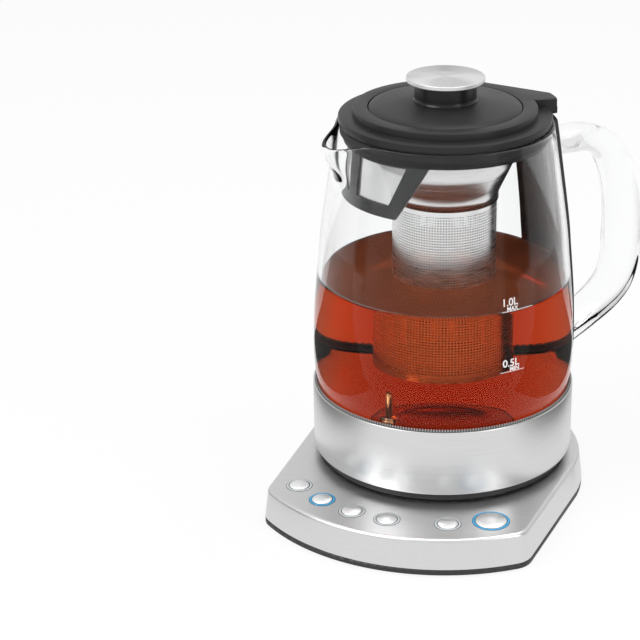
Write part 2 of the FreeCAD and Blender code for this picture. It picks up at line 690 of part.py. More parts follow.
# ---- Boards ----
board_spread = board_half * 2
control = revolve("ControlBoard", [
    (board_inner, d.board_level), (board_outer, d.board_level),
    (board_outer, d.board_level + d.board_thick),
    (board_inner, d.board_level + d.board_thick)], None, board_spread)
turn(control, -90.0)
finish_node(control, "control_board")
switch_top = d.board_level + d.board_thick + d.switch_height
switches = []
for index, (angle, cap) in enumerate(BUTTONS, start=1):
    x, y = spots(button_circle, angle)
    switch = box("Switch%d" % index, d.switch_size, d.switch_size, d.switch_height)
    turn(switch, 0.0, x - d.switch_size * 0.5, y - d.switch_size * 0.5,
         d.board_level + d.board_thick)
    switches.append(switch)
group("tact_switches", switches)
power = box("PowerBoard", d.power_length, d.power_width, d.board_thick)
turn(power, 0.0, d.power_length * -0.5, d.power_width * -0.5, d.power_level)
finish_node(power, "power_board")
relay = box("Relay", d.switch_size * 2.5, d.switch_size * 2, d.switch_size * 1.1)
turn(relay, 0.0, d.switch_size * 3, d.switch_size * 0.3, board_top)
finish_node(relay, "relay")
radio = box("Radio", d.switch_size * 2.4, d.switch_size * 2.6, d.switch_size * 0.4)
turn(radio, 0.0, d.switch_size * -5.4, d.switch_size * -1.2, board_top)
finish_node(radio, "radio_module")

# ---- Light rings and buttons ----
under = cover_level - d.cover_wall
lights = []
for index, (angle, cap) in enumerate(BUTTONS, start=1):
    x, y = spots(button_circle, angle)
    bore = cap + d.button_gap
    light = revolve("LightRing%d" % index, [
        (bore, cover_level + d.light_rise - d.light_depth),
        (bore + d.light_width * 2, cover_level + d.light_rise - d.light_depth),
        (bore + d.light_width * 2, under), (bore + d.light_width, under),
        (bore + d.light_width, cover_level + d.light_rise),
        (bore, cover_level + d.light_rise)])
    turn(light, 0.0, x, y, 0.0)
    lights.append(light)
group("light_rings_lit", [lights[1], lights[5]])
group("light_rings_dark", [lights[0], lights[2], lights[3], lights[4]])
collar_top = cover_level + d.light_rise - d.light_depth - d.button_gap
for index, (angle, cap) in enumerate(BUTTONS, start=1):
    x, y = spots(button_circle, angle)
    press = revolve("Button%d" % index, [
        (0.0, switch_top + d.button_travel + 0.1),
        (d.button_stem, switch_top + d.button_travel + 0.1),
        (d.button_stem, collar_top - 1.0), (cap + d.light_width, collar_top - 1.0),
        (cap + d.light_width, collar_top), (cap, collar_top),
        (cap, cover_level + d.button_rise - 0.4),
        (cap - 0.4, cover_level + d.button_rise), (0.0, cover_level + d.button_rise)])
    turn(press, 0.0, x, y, 0.0)
    finish_node(press, "button_%d" % index)

# ---- Cord grommet ----
grommet = revolve("CordGrommet", [
    (d.grommet_bore, 0.0), (d.grommet_radius, 0.0), (d.grommet_radius, d.grommet_length - 2.0),
    (d.grommet_radius + 1.5, d.grommet_length - 2.0),
    (d.grommet_radius + 1.5, d.grommet_length), (d.grommet_bore, d.grommet_length)])
grommet.Placement = Placement(
    Vector(0, d.base_rear_radius.value - 6.9, cord_level.value), Rotation(Vector(1, 0, 0), -90))
grommet.setExpression("Placement.Base.y", (d.base_rear_radius - d.grommet_length + 2.1).text)
grommet.setExpression("Placement.Base.z", cord_level.text)
finish_node(grommet, "cord_grommet")

# ---- Socket under the kettle ----
socket_in = d.plug_radius + d.socket_gap
socket_out = socket_in + d.socket_wall
socket_top = plug_top + 0.4 + d.socket_gap
jug_plate = ring_level + d.bottom_thick * 0.5
turned("connector_socket", [
    (socket_in, dish_level + d.socket_gap), (socket_out, dish_level + d.socket_gap),
    (socket_out, jug_plate + d.bottom_thick + 0.1),
    (socket_out + 3.0, jug_plate + d.bottom_thick + 0.1),
    (socket_out + 3.0, jug_plate + d.bottom_thick + 1.6),
    (socket_out, jug_plate + d.bottom_thick + 1.6),
    (socket_out, socket_top + d.socket_wall), (0.0, socket_top + d.socket_wall),
    (0.0, socket_top), (socket_in, socket_top)])

# ---- Kettle foot ----
ring_in = ring_radius - d.ring_wall
turned("jug_ring", [
    (ring_in, ring_level), (ring_radius, ring_level), (ring_radius, band_level),
    (ring_in, band_level)])
turned("jug_bottom", [
    (socket_out + 0.05, jug_plate), (ring_in, jug_plate),
    (ring_in, jug_plate + d.bottom_thick), (socket_out + 0.05, jug_plate + d.bottom_thick)])
band_in = band_radius - d.band_wall
turned("steel_band", [
    (ring_in + 1.4, band_level), (band_in, band_level, d.band_wall, 1),
    (band_radius, band_level + d.band_wall), (band_radius, band_top - d.band_wall, d.band_wall, 1),
    (band_in, band_top), (band_in, band_level + d.band_wall),
    (ring_in + 1.4, band_level + d.band_wall)])
plate_top = plate_level + d.plate_rise
glass_in = glass_foot - d.glass_wall
plate = revolve("HeatingPlate", [
    (0.0, plate_top - d.plate_thick), (glass_in - 2.2, plate_top - d.plate_thick),
    (glass_in - 2.2, plate_level - d.plate_thick), (band_in, plate_level - d.plate_thick),
    (band_in, plate_level), (glass_in - 0.6, plate_level), (glass_in - 0.6, plate_top),
    (0.0, plate_top)])
pin_hole = sketch_on(plate, "XY_Plane", "PinHole", plate_top)
circle(pin_hole, sensor_circle * cosine(d.sensor_turn), sensor_circle * sine(d.sensor_turn),
       d.sensor_radius)
pocket(plate, pin_hole, d.plate_thick * 3, "PinHoleCut")
turn(plate, d.handle_turn)
finish_node(plate, "heating_plate")
element = doc.addObject("Part::Torus", "Element")
bind(element, "Radius1", element_radius)
bind(element, "Radius2", d.element_tube)
element.Angle3 = 320
turn(element, 90.0, 0.0, 0.0, plate_top - d.plate_thick - d.element_tube)
finish_node(element, "heating_element")
cutout = rod("Cutout", d.cutout_radius, d.cutout_radius * 0.7)
turn(cutout, 0.0, 0.0, 0.0, plate_top - d.plate_thick - d.cutout_radius * 0.7)
finish_node(cutout, "thermal_cutout")
# ---- Glass ----
belly_level = band_top + d.glass_belly_rise
shoulder_level = band_top + d.glass_shoulder_rise


def glass_profile(offset, low, high, beyond=0.0):
    """The glass in section at an offset from its outside, from low to high."""
    slope = (glass_rim - glass_shoulder) / (rim_top - shoulder_level)
    return [(glass_foot + offset, low, d.glass_foot_bow, 1),
            (glass_belly + offset, belly_level, d.glass_belly_bow, 1),
            (glass_shoulder + offset, shoulder_level),
            (glass_rim + offset + slope * beyond, high), (0.0, high), (0.0, low)]


glass_outside = revolve("GlassOutside", glass_profile(0.0, glass_level, rim_top))
glass_inside = revolve("GlassInside", glass_profile(-d.glass_wall, glass_level - 1.0, rim_top + 1.0, 1.0))

seal_ring = revolve("SealRing", [
    (glass_in, plate_level), (band_in - d.seal_gap, plate_level),
    (band_in - d.seal_gap, band_top + d.seal_rise), (glass_foot - 1.0, band_top + d.seal_rise),
    (glass_foot - 1.0, plate_level + d.seal_floor), (glass_in, plate_level + d.seal_floor)])
seal = doc.addObject("Part::Cut", "GlassSeal")
seal.Base, seal.Tool = seal_ring, glass_outside
finish_node(seal, "glass_seal")


def joined(kind, name, base, tool):
    """A cut or fusion of two shapes."""
    thing = doc.addObject("Part::" + kind, name)
    thing.Base, thing.Tool = base, tool
    return thing


def lip_loft(name, inset, mouth):
    """The pouring lip, opposite the handle, drawn inset: a flared tube, with a mouth above if asked."""
    rings = []
    lip_crest = rim_top - d.lip_drop
    slope = (glass_shoulder - glass_rim) / (rim_top - shoulder_level)
    foot = lip_crest - d.lip_height
    middle = lip_crest - d.lip_height * 0.4
    foot_reach = glass_rim + slope * (rim_top - foot) - 0.5
    middle_reach = glass_rim + slope * (rim_top - middle) + d.lip_stand * 0.25
    steps = [(d.lip_foot_radius, foot_reach, foot),
             (d.lip_foot_radius * 0.6 + d.lip_radius * 0.4, middle_reach, middle),
             (d.lip_radius, lip_reach, lip_crest)]
    if mouth:
        steps.append((d.lip_radius, lip_reach, rim_top + d.lip_drop * 2))
    for index, (radius, reach, level) in enumerate(steps):
        ring = doc.addObject("Part::Circle", "%sRing%d" % (name, index))
        bind(ring, "Radius", radius - inset)
        turn(ring, 0.0, radius - reach, 0.0, level)
        rings.append(ring)
    loft = doc.addObject("Part::Loft", name)
    loft.Sections = rings
    loft.Solid = True
    loft.Ruled = True
    return loft


lip_outside = lip_loft("LipOutside", 0.0, False)
lip_inside = lip_loft("LipInside", d.glass_wall, True)
jug_wall = joined("Cut", "JugWall", glass_outside, glass_inside)
jug_open = joined("Cut", "JugOpen", jug_wall, lip_inside)
lip_wall = joined("Cut", "LipWall", lip_outside, lip_inside)
lip_part = joined("Cut", "LipPart", lip_wall, glass_inside)
glass = joined("Fuse", "Glass", jug_open, lip_part)
turn(glass, d.handle_turn)
finish_node(glass, "glass_body")

# ---- Handle: oval sections along its middle line (in from the grip, height, lean, half thickness).
grip = d.handle_grip_thick
bar = d.handle_top_thick
top_line = rim_top - d.handle_top_drop
root_line = band_top + d.handle_root_rise
HANDLE = [(glass_rim - d.handle_sink, top_line, 0.0, bar), (glass_rim + d.handle_lead, top_line, 0.0, bar),
          (handle_reach - 26.0, top_line - 0.6, 8.0, bar),
          (handle_reach - 14.0, top_line - 7.0, 42.0, bar + 1.2),
          (handle_reach - 6.5, top_line - 18.5, 65.0, bar + 2.4),
          (handle_reach - 2.4, top_line - 32.5, 79.0, grip),
          (handle_reach * 1, top_line - 50.0, 87.0, grip + 0.4),
          (handle_reach * 1, root_line + 58.0, 90.0, grip + 0.7),
          (handle_reach - 0.4, root_line + 46.0, 96.0, grip + 0.6),
          (handle_reach - 4.4, root_line + 34.0, 116.0, grip),
          (handle_reach - 12.5, root_line + 25.0, 138.0, grip - 1.0),
          (handle_reach - 24.0, root_line + 17.0, 148.0, grip - 2.0),
          (glass_belly + 6.4, root_line + 10.2, 152.0, grip - 2.6),
          (glass_belly - 5.6, root_line + 4.4, 154.0, grip - 3.0)]
ovals = []
for index, (across, height, lean, thick) in enumerate(HANDLE):
    oval = doc.addObject("Part::Ellipse", "Oval%d" % index)
    bind(oval, "MajorRadius", d.handle_half_width + 1.0)
    bind(oval, "MinorRadius", thick)
    # The oval's long axis lies along Y and its normal along the middle line.
    facing = Rotation(Vector(0, 1, 0), 90.0 + lean).multiply(Rotation(Vector(0, 0, 1), 90))
    oval.Placement = Placement(Vector(across.value, 0, height.value), facing)
    oval.setExpression("Placement.Base.x", across.text)
    oval.setExpression("Placement.Base.z", height.text)
    ovals.append(oval)
handle_loft = doc.addObject("Part::Loft", "HandleLoft")
handle_loft.Sections = ovals
handle_loft.Solid = True
handle = doc.addObject("Part::Cut", "Handle")
handle.Base, handle.Tool = handle_loft, glass_outside
turn(handle, d.handle_turn)
finish_node(handle, "glass_handle")
strip_low = band_top + d.seal_rise + 0.3
strip = revolve("Strip", [
    (glass_rim - d.rim_draw, strip_low), (glass_foot + d.spine_thick, strip_low, d.glass_foot_bow, 1),
    (glass_belly + d.spine_thick, belly_level, d.glass_belly_bow, 1),
    (glass_shoulder + d.spine_thick, shoulder_level), (glass_rim + d.spine_thick, rim_top - 1),
    (glass_rim - d.rim_draw, rim_top - 1)], None, d.spine_half_angle * 2)
strip_cut = doc.addObject("Part::Cut", "StripCut")
strip_cut.Base, strip_cut.Tool = strip, glass_outside
spine = doc.addObject("Part::Cut", "Spine")
spine.Base, spine.Tool = strip_cut, handle_loft
turn(spine, d.handle_turn)
finish_node(spine, "handle_spine")

# ---- Temperature sensor ----
sensor = revolve("Sensor", [
    (0.0, plate_top - d.plate_thick - 4.0), (d.sensor_radius, plate_top - d.plate_thick - 4.0),
    (d.sensor_radius, plate_top), (d.sensor_collar, plate_top),
    (d.sensor_collar, plate_top + 1.5), (d.sensor_radius + 0.6, plate_top + 2.4),
    (d.sensor_radius, plate_top + 2.4), (d.sensor_radius, plate_top + d.sensor_height - 1.0),
    (d.sensor_radius - 0.9, plate_top + d.sensor_height), (0.0, plate_top + d.sensor_height)])
nut = revolve("SensorNut", [
    (d.sensor_radius, plate_top - d.plate_thick - 3.0),
    (d.sensor_radius + 1.7, plate_top - d.plate_thick - 3.0),
    (d.sensor_radius + 1.7, plate_top - d.plate_thick), (d.sensor_radius, plate_top - d.plate_thick)])
sensor_angle = d.handle_turn + d.sensor_turn
for thing, node in ((sensor, "temperature_sensor"), (nut, "sensor_nut")):
    turn(thing, 0.0, sensor_circle * cosine(sensor_angle), sensor_circle * sine(sensor_angle), 0.0)
    finish_node(thing, node)

# ---- Lid ----
skirt_in = skirt_radius - d.skirt_wall
hub_in = lid_ledge
lid_turned = revolve("LidTurned", [
    (hub_in, flange_level - d.hub_drop), (hub_in + 2.0, flange_level - d.hub_drop),
    (hub_in + 2.0, flange_level), (skirt_in, flange_level), (skirt_in, flange_level - d.skirt_drop),
    (skirt_radius, flange_level - d.skirt_drop), (skirt_radius, flange_level),
    (lid_radius, flange_level), (lid_radius, flange_top - 0.8),
    (lid_radius - 0.8, flange_top), (lid_raised + 0.6, flange_top),
    (lid_raised, raised_top - 1.2), (lid_raised - 1.2, raised_top),
    (lid_mouth, raised_top), (lid_mouth, ledge_level), (hub_in, ledge_level)])
tab = revolve("LidTab", [
    (lid_raised - 2.0, flange_level), (tab_reach, flange_level + 0.8),
    (tab_reach, raised_top - 1.4), (tab_reach - 1.4, raised_top),
    (lid_raised - 2.0, raised_top)], None, d.tab_half_angle * 2)
lid = doc.addObject("Part::Fuse", "Lid")
lid.Base, lid.Tool = lid_turned, tab
turn(lid, d.handle_turn)
finish_node(lid, "lid_ring")
seal_mid = flange_level - d.skirt_drop * 0.5
turned("lid_seal", [
    (skirt_radius, seal_mid - 2.5), (skirt_radius + 0.5, seal_mid - 2.5),
    (skirt_radius + d.lid_seal_bulge, seal_mid - 0.6),
    (skirt_radius + d.lid_seal_bulge, seal_mid + 0.6),
    (skirt_radius + 0.5, seal_mid + 2.5), (skirt_radius, seal_mid + 2.5)])


def filter_plate(name, bar_cut, inset):
    """A flat outline of the filter frame, padded away from the handle."""
    part = body(name)
    low = flange_level - d.skirt_drop - d.filter_height + inset
    high = flange_level - d.skirt_drop * 0.4
    sketch = sketch_on(part, "YZ_Plane", name + "Outline")
    outline(sketch, [(-(filter_foot_half - inset), low), (filter_foot_half - inset, low),
                     (filter_top_half - inset, high), (-(filter_top_half - inset), high)])
    feature = pad(part, sketch, lid_radius, name + "Pad")
    feature.Reversed = True
    if bar_cut:
        sill = low + d.filter_bar
        head = flange_level - d.skirt_drop - d.filter_top_bar
        slant = (filter_top_half - filter_foot_half) * (1 / (high.value - low.value))
        sill_out = filter_foot_half - d.filter_leg + slant * d.filter_bar
        head_out = filter_foot_half - d.filter_leg + slant * (head - low)
        windows = sketch_on(part, "YZ_Plane", name + "Windows")
        outline(windows, [(d.filter_post, sill), (sill_out, sill), (head_out, head),
                          (d.filter_post_top, head)])
        outline(windows, [(-sill_out, sill), (-d.filter_post, sill), (-d.filter_post_top, head),
                          (-head_out, head)])
        cut = pocket(part, windows, lid_radius, name + "WindowsCut")
        cut.Reversed = False
    return part


frame_flat = filter_plate("FilterFlat", True, 0.0)
mesh_flat = filter_plate("MeshFlat", False, 1.5)
low_end = flange_level - d.skirt_drop - d.filter_height - 5.0
for node, flat, wide, thick in (
        ("filter_frame", frame_flat, skirt_in, d.filter_thick),
        ("filter_mesh", mesh_flat, skirt_in - d.filter_thick, d.filter_mesh_thick)):
    tube = revolve(node.title().replace("_", "") + "Tube", [
        (wide - thick, low_end), (wide, low_end), (wide, flange_level), (wide - thick, flange_level)])
    meet = doc.addObject("Part::Common", node.title().replace("_", ""))
    meet.Base, meet.Tool = flat, tube
    turn(meet, d.handle_turn)
    finish_node(meet, node)

# ---- Infuser ----
rim_up = ledge_level + d.funnel_wall
cone_top = ledge_level - d.funnel_straight
cone_low = cone_top - d.funnel_cone
neck_in = funnel_neck - d.funnel_wall
turned("basket_funnel", [
    (neck_in, rim_up), (neck_in, cone_top), (sieve_radius, cone_low),
    (sieve_radius, cone_low - 4.0), (sieve_radius + d.funnel_wall, cone_low - 4.0),
    (sieve_radius + d.funnel_wall, cone_low), (funnel_neck, cone_top),
    (funnel_neck, ledge_level), (funnel_rim, ledge_level), (funnel_rim, rim_up)])
sieve_in = sieve_radius - d.sieve_wall
sieve_low = cone_low - d.sieve_length
turned("basket_sieve", [
    (sieve_in, sieve_low), (sieve_radius, sieve_low), (sieve_radius, cone_low - 0.3),
    (sieve_in, cone_low - 0.3)])
turned("basket_floor", [
    (0.0, sieve_low + d.floor_dish), (sieve_in - 8, sieve_low + d.floor_dish),
    (sieve_in - 5, sieve_low), (sieve_in, sieve_low), (sieve_in, sieve_low + d.floor_thick),
    (sieve_in - 5, sieve_low + d.floor_thick),
    (sieve_in - 8, sieve_low + d.floor_dish + d.floor_thick),
    (0.0, sieve_low + d.floor_dish + d.floor_thick)])

# ---- Infuser lid and knob ----
disc_edge = raised_top + d.disc_edge
crown = disc_edge + d.disc_crown
screw_bore = d.sensor_radius
turned("lid_disc", [
    (disc_spigot - 2.0, ledge_level - d.disc_spigot_drop),
    (disc_spigot, ledge_level - d.disc_spigot_drop), (disc_spigot, rim_up),
    (disc_radius, rim_up), (disc_radius, disc_edge - 0.8), (disc_radius - 0.8, disc_edge),
    (d.neck_radius, crown), (screw_bore, crown), (screw_bore, crown - 3.0),
    (d.neck_radius, crown - 3.0), (disc_spigot - 2.0, disc_edge - 3.0)])
neck_top = crown + d.neck_height
turned("knob_neck", [
    (screw_bore, crown), (d.neck_radius, crown), (d.neck_radius, neck_top), (0.0, neck_top),
    (0.0, neck_top - 1.8), (screw_bore, neck_top - 1.8)])
knob_top = neck_top + d.knob_thick
turned("knob_cap", [
    (0.0, neck_top), (knob_radius - d.knob_edge, neck_top),
    (knob_radius, neck_top + d.knob_edge), (knob_radius, knob_top - d.knob_edge),
    (knob_radius - d.knob_edge, knob_top), (0.0, knob_top)])
turned("knob_screw", [
    (0.0, crown - 5.4), (screw_bore * 2, crown - 5.4), (screw_bore * 2, crown - 3.0),
    (screw_bore, crown - 3.0), (screw_bore, neck_top - 1.8), (0.0, neck_top - 1.8)])

# ---- Checks, then one file for each sub-part ----
doc.recompute()
faults = []
for thing in doc.Objects:
    if "Invalid" in thing.State or "Error" in thing.State:
        faults.append("%s: %s" % (thing.Label, thing.State))
for node, thing in finished.items():
    if thing.Shape.isNull() or not thing.Shape.isValid():
        faults.append("%s: shape is null or not valid" % node)
if faults:
    raise RuntimeError("; ".join(faults))
for node, thing in finished.items():
    thing.Shape.exportStep(os.path.join(OUT, node + ".step"))
print("%d sub-parts written" % len(finished))
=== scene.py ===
"""Automatic tea maker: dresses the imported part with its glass, tea, steel and plastics.

Laid out as a Blender add-on.  Run as a script, it makes every piece in turn.
All lengths are in metres in the part's frame: +Z up, the buttons face -Y, and
the origin is on the kettle's turning axis at the table.
"""
import math

import bmesh
import bpy
import numpy as np
from bpy.props import FloatProperty, FloatVectorProperty, IntProperty, PointerProperty
from bpy.types import Operator, Panel, PropertyGroup
from mathutils import Matrix, Vector


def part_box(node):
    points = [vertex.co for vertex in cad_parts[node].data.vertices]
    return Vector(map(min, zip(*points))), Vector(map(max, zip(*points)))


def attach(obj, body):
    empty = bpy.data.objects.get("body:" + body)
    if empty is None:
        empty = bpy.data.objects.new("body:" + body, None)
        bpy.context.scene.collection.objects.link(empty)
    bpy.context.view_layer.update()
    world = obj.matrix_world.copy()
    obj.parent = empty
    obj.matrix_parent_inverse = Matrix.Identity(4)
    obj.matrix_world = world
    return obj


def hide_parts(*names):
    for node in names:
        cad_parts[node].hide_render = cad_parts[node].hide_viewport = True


bl_info = {
    "name": "Tea Maker",
    "version": (1, 0, 0),
    "blender": (4, 5, 0),
    "location": "3D View > Sidebar > Tea Maker",
    "description": "Makes a glass tea maker on its powered base, piece by piece",
    "category": "Add Mesh",
}

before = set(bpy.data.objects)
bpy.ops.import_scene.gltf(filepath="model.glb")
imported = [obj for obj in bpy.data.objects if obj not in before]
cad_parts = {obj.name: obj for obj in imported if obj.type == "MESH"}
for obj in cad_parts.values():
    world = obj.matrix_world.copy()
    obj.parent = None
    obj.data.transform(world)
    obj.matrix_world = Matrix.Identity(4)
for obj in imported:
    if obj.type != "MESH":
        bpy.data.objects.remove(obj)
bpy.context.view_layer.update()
band_foot, band_crown = (corner[2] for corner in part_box("steel_band"))
glass_base, glass_crown = (corner[2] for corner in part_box("glass_body"))
plate_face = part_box("heating_plate")[1][2]
sieve_foot, sieve_crown = (corner[2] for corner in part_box("basket_sieve"))
disc_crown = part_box("lid_disc")[1][2]
knob_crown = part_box("knob_cap")[1][2]
seal_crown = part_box("glass_seal")[1][2]
ring_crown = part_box("light_rings_lit")[1][2]
lid_gap = 0.0003
flange_foot = glass_crown + lid_gap


# Settings

class TeaMakerSizes(PropertyGroup):
    """Sizes of the glass, the tea and the fine parts."""

    handle_turn: FloatProperty(
        name="Handle turn", description="Turn of the kettle on its base",
        default=math.radians(46.3), subtype="ANGLE")
    glass_wall: FloatProperty(
        name="Glass wall", description="Thickness of the glass",
        default=0.0026, unit="LENGTH")
    tea_level: FloatProperty(
        name="Tea level", description="Height of the tea's surface above the table",
        default=0.1262, unit="LENGTH")
    lip_reach: FloatProperty(
        name="Lip reach", description="Tip of the pouring lip, from the axis",
        default=0.0696, unit="LENGTH")
    lip_dip: FloatProperty(
        name="Lip dip", description="How far the rim dips at the pouring lip",
        default=0.0042, unit="LENGTH")
    hole_pitch: FloatProperty(
        name="Hole pitch", description="Distance between holes of the sieve",
        default=0.00146, unit="LENGTH")
    rib_count: IntProperty(
        name="Gasket ribs", description="Ribs round the glass's gasket",
        default=300, min=24)
    mark_height: FloatProperty(
        name="Mark height", description="Height of the figures on the glass",
        default=0.0042, unit="LENGTH")


class TeaMakerColours(PropertyGroup):
    """Colours of the main finishes."""

    tea: FloatVectorProperty(
        name="Tea", description="Colour that the tea lets through",
        subtype="COLOR", default=(0.845, 0.38, 0.02), min=0.0, max=1.0)
    steel: FloatVectorProperty(
        name="Steel", description="Brushed steel of the base and band",
        subtype="COLOR", default=(0.70, 0.70, 0.70), min=0.0, max=1.0)
    lid: FloatVectorProperty(
        name="Lid", description="Dark plastic of the lid",
        subtype="COLOR", default=(0.022, 0.022, 0.023), min=0.0, max=1.0)
    glow: FloatVectorProperty(
        name="Button light", description="Light round a lit button",
        subtype="COLOR", default=(0.03, 0.26, 0.48), min=0.0, max=1.0)


# Node helpers

def node_group(name, inputs, outputs, build):
    """A shader node group made once; build wires it up."""
    if name in bpy.data.node_groups:
        return bpy.data.node_groups[name]
    tree = bpy.data.node_groups.new(name, "ShaderNodeTree")
    for label, kind, value in inputs:
        socket = tree.interface.new_socket(label, in_out="INPUT", socket_type=kind)
        if value is not None:
            socket.default_value = value
    for label, kind in outputs:
        tree.interface.new_socket(label, in_out="OUTPUT", socket_type=kind)
    build(tree, tree.nodes.new("NodeGroupInput"), tree.nodes.new("NodeGroupOutput"))
    return tree


def add(tree, kind, **values):
    """One node; values are its properties, or its inputs by number as i0, i1 and so on."""
    node = tree.nodes.new(kind)
    for key, value in values.items():
        if key[0] == "i" and key[1:].isdigit():
            node.inputs[int(key[1:])].default_value = value
        else:
            setattr(node, key, value)
    return node


def spread(tree, source, scale, detail, label="Position"):
    """Noise over an output of a node; an unset scale is left for a link."""
    noise = add(tree, "ShaderNodeTexNoise", i3=detail)
    if scale:
        noise.inputs["Scale"].default_value = scale
    tree.links.new(source.outputs[label], noise.inputs["Vector"])
    return noise


def surface_outputs(tree, source, result, tone, patches, height, distance):
    """Ends a surface group: the colour times a tone, a roughness between two values, a bump."""
    link = tree.links.new
    colour = add(tree, "ShaderNodeVectorMath", operation="SCALE")
    link(source.outputs["Color"], colour.inputs[0])
    link(tone, colour.inputs["Scale"])
    rough = add(tree, "ShaderNodeMapRange", i1=0.3, i2=0.7)
    link(patches, rough.inputs[0])
    link(source.outputs["Smoothest"], rough.inputs[3])
    link(source.outputs["Roughest"], rough.inputs[4])
    bump = add(tree, "ShaderNodeBump", i1=distance)
    link(source.outputs["Depth"], bump.inputs["Strength"])
    link(height, bump.inputs["Height"])
    for label, node in (("Color", colour), ("Roughness", rough), ("Normal", bump)):
        link(node.outputs[0], result.inputs[label])


def surface_group(name, inputs, build):
    """A surface group: its inputs are the place, the colour and some values."""
    return node_group(
        name, [("Position", "NodeSocketVector", None)] + inputs,
        [("Color", "NodeSocketColor"), ("Roughness", "NodeSocketFloat"), ("Normal", "NodeSocketVector")],
        build)


def brushed_group():
    """Fine lines drawn out along the chosen directions, as a tone, a roughness and a bump."""
    def build(tree, source, result):
        link = tree.links.new
        stretch = add(tree, "ShaderNodeVectorMath", operation="MULTIPLY")
        link(source.outputs["Position"], stretch.inputs[0])
        link(source.outputs["Stretch"], stretch.inputs[1])
        fine = spread(tree, stretch, 1.0, 3.0, "Vector")
        fine.inputs["Roughness"].default_value = 0.6
        broad = spread(tree, source, 14.0, 2.0)
        mixed = add(tree, "ShaderNodeMath", operation="MULTIPLY_ADD", i1=0.75)
        link(fine.outputs["Fac"], mixed.inputs[0])
        quarter = add(tree, "ShaderNodeMath", operation="MULTIPLY", i1=0.25)
        link(broad.outputs["Fac"], quarter.inputs[0])
        link(quarter.outputs[0], mixed.inputs[2])
        tone = add(tree, "ShaderNodeMapRange", i1=0.3, i2=0.7, i3=0.93, i4=1.05)
        link(mixed.outputs[0], tone.inputs[0])
        surface_outputs(tree, source, result, tone.outputs[0], mixed.outputs[0],
                        fine.outputs["Fac"], 0.00002)

    return surface_group(
        "Brushed lines",
        [("Stretch", "NodeSocketVector", (30, 30, 2500)),
         ("Color", "NodeSocketColor", (0.7, 0.7, 0.7, 1)), ("Smoothest", "NodeSocketFloat", 0.25),
         ("Roughest", "NodeSocketFloat", 0.38), ("Depth", "NodeSocketFloat", 0.1)], build)


def moulded_group():
    """Fine spark-eroded grain of moulded plastic, with slight patches and wear on sharp edges."""
    def build(tree, source, result):
        link = tree.links.new
        grain = spread(tree, source, None, 2.0)
        link(source.outputs["Grain"], grain.inputs["Scale"])
        patches = spread(tree, source, 22.0, 3.0)
        tone = add(tree, "ShaderNodeMapRange", i1=0.3, i2=0.7, i3=0.88, i4=1.12)
        link(patches.outputs["Fac"], tone.inputs[0])
        edges = add(tree, "ShaderNodeNewGeometry")
        worn = add(tree, "ShaderNodeMapRange", i1=0.52, i2=0.62, i3=0.0, i4=1.0)
        link(edges.outputs["Pointiness"], worn.inputs[0])
        lift = add(tree, "ShaderNodeMath", operation="MULTIPLY_ADD")
        link(worn.outputs[0], lift.inputs[0])
        link(source.outputs["Wear"], lift.inputs[1])
        link(tone.outputs[0], lift.inputs[2])
        surface_outputs(tree, source, result, lift.outputs[0], patches.outputs["Fac"],
                        grain.outputs["Fac"], 0.00005)

    return surface_group(
        "Moulded grain",
        [("Color", "NodeSocketColor", (0.05, 0.05, 0.05, 1)), ("Grain", "NodeSocketFloat", 1800.0),
         ("Smoothest", "NodeSocketFloat", 0.35), ("Roughest", "NodeSocketFloat", 0.5),
         ("Depth", "NodeSocketFloat", 0.15), ("Wear", "NodeSocketFloat", 0.3)], build)


def found(tree, kind):
    """The first node of a kind."""
    return next(node for node in tree.nodes if node.type == kind)


def new_material(name):
    """An empty material with its shader, output and Object coordinates."""
    material = bpy.data.materials.new(name)
    material.use_nodes = True
    tree = material.node_tree
    shader = found(tree, "BSDF_PRINCIPLED")
    place = add(tree, "ShaderNodeTexCoord")
    return material, tree, shader, place.outputs["Object"]


def grouped(name, group, settings, **plain):
    """A material whose colour, roughness and normal come from a node group."""
    if name in bpy.data.materials:
        return bpy.data.materials[name]
    material, tree, shader, place = new_material(name)
    node = add(tree, "ShaderNodeGroup", node_tree=group)
    tree.links.new(place, node.inputs["Position"])
    for key, value in settings.items():
        node.inputs[key].default_value = value
    for source, target in (("Color", "Base Color"), ("Roughness", "Roughness"), ("Normal", "Normal")):
        tree.links.new(node.outputs[source], shader.inputs[target])
    for key, value in plain.items():
        shader.inputs[key.replace("_", " ")].default_value = value
    if "Anisotropic" in plain:
        tangent = add(tree, "ShaderNodeTangent", direction_type="RADIAL", axis="Z")
        tree.links.new(tangent.outputs[0], shader.inputs["Tangent"])
    return material


def with_alpha(colour):
    """A three-part colour as four parts."""
    return (*colour[:3], 1.0)


# Finishes

def metal(name, colour, stretch, smoothest=0.25, roughest=0.38, depth=0.1, **plain):
    """A brushed metal; stretch gives its lines' direction, depth how deep they are."""
    return grouped(name, brushed_group(),
                   {"Color": with_alpha(colour), "Stretch": stretch, "Smoothest": smoothest,
                    "Roughest": roughest, "Depth": depth}, Metallic=1.0, **plain)


def plastic(name, colour, smoothest, roughest, specular=0.5, alpha=1.0, **grain):
    """A moulded plastic; grain holds Grain, Depth or Wear where they aren't the usual ones."""
    return grouped(name, moulded_group(),
                   {"Color": with_alpha(colour), "Smoothest": smoothest, "Roughest": roughest,
                    **grain}, Specular_IOR_Level=specular, Alpha=alpha)


def shell_steel():
    """Brushed steel sheet, lines running round the part."""
    colour = bpy.context.scene.tea_maker_colours.steel
    return metal("Brushed steel shell", colour, (25, 25, 3500), 0.27, 0.38, 0.08)


def top_steel():
    """Brushed steel of the base, lines running from side to side."""
    colour = bpy.context.scene.tea_maker_colours.steel
    return metal("Brushed steel base", colour, (25, 3000, 3000), 0.30, 0.42, 0.10)


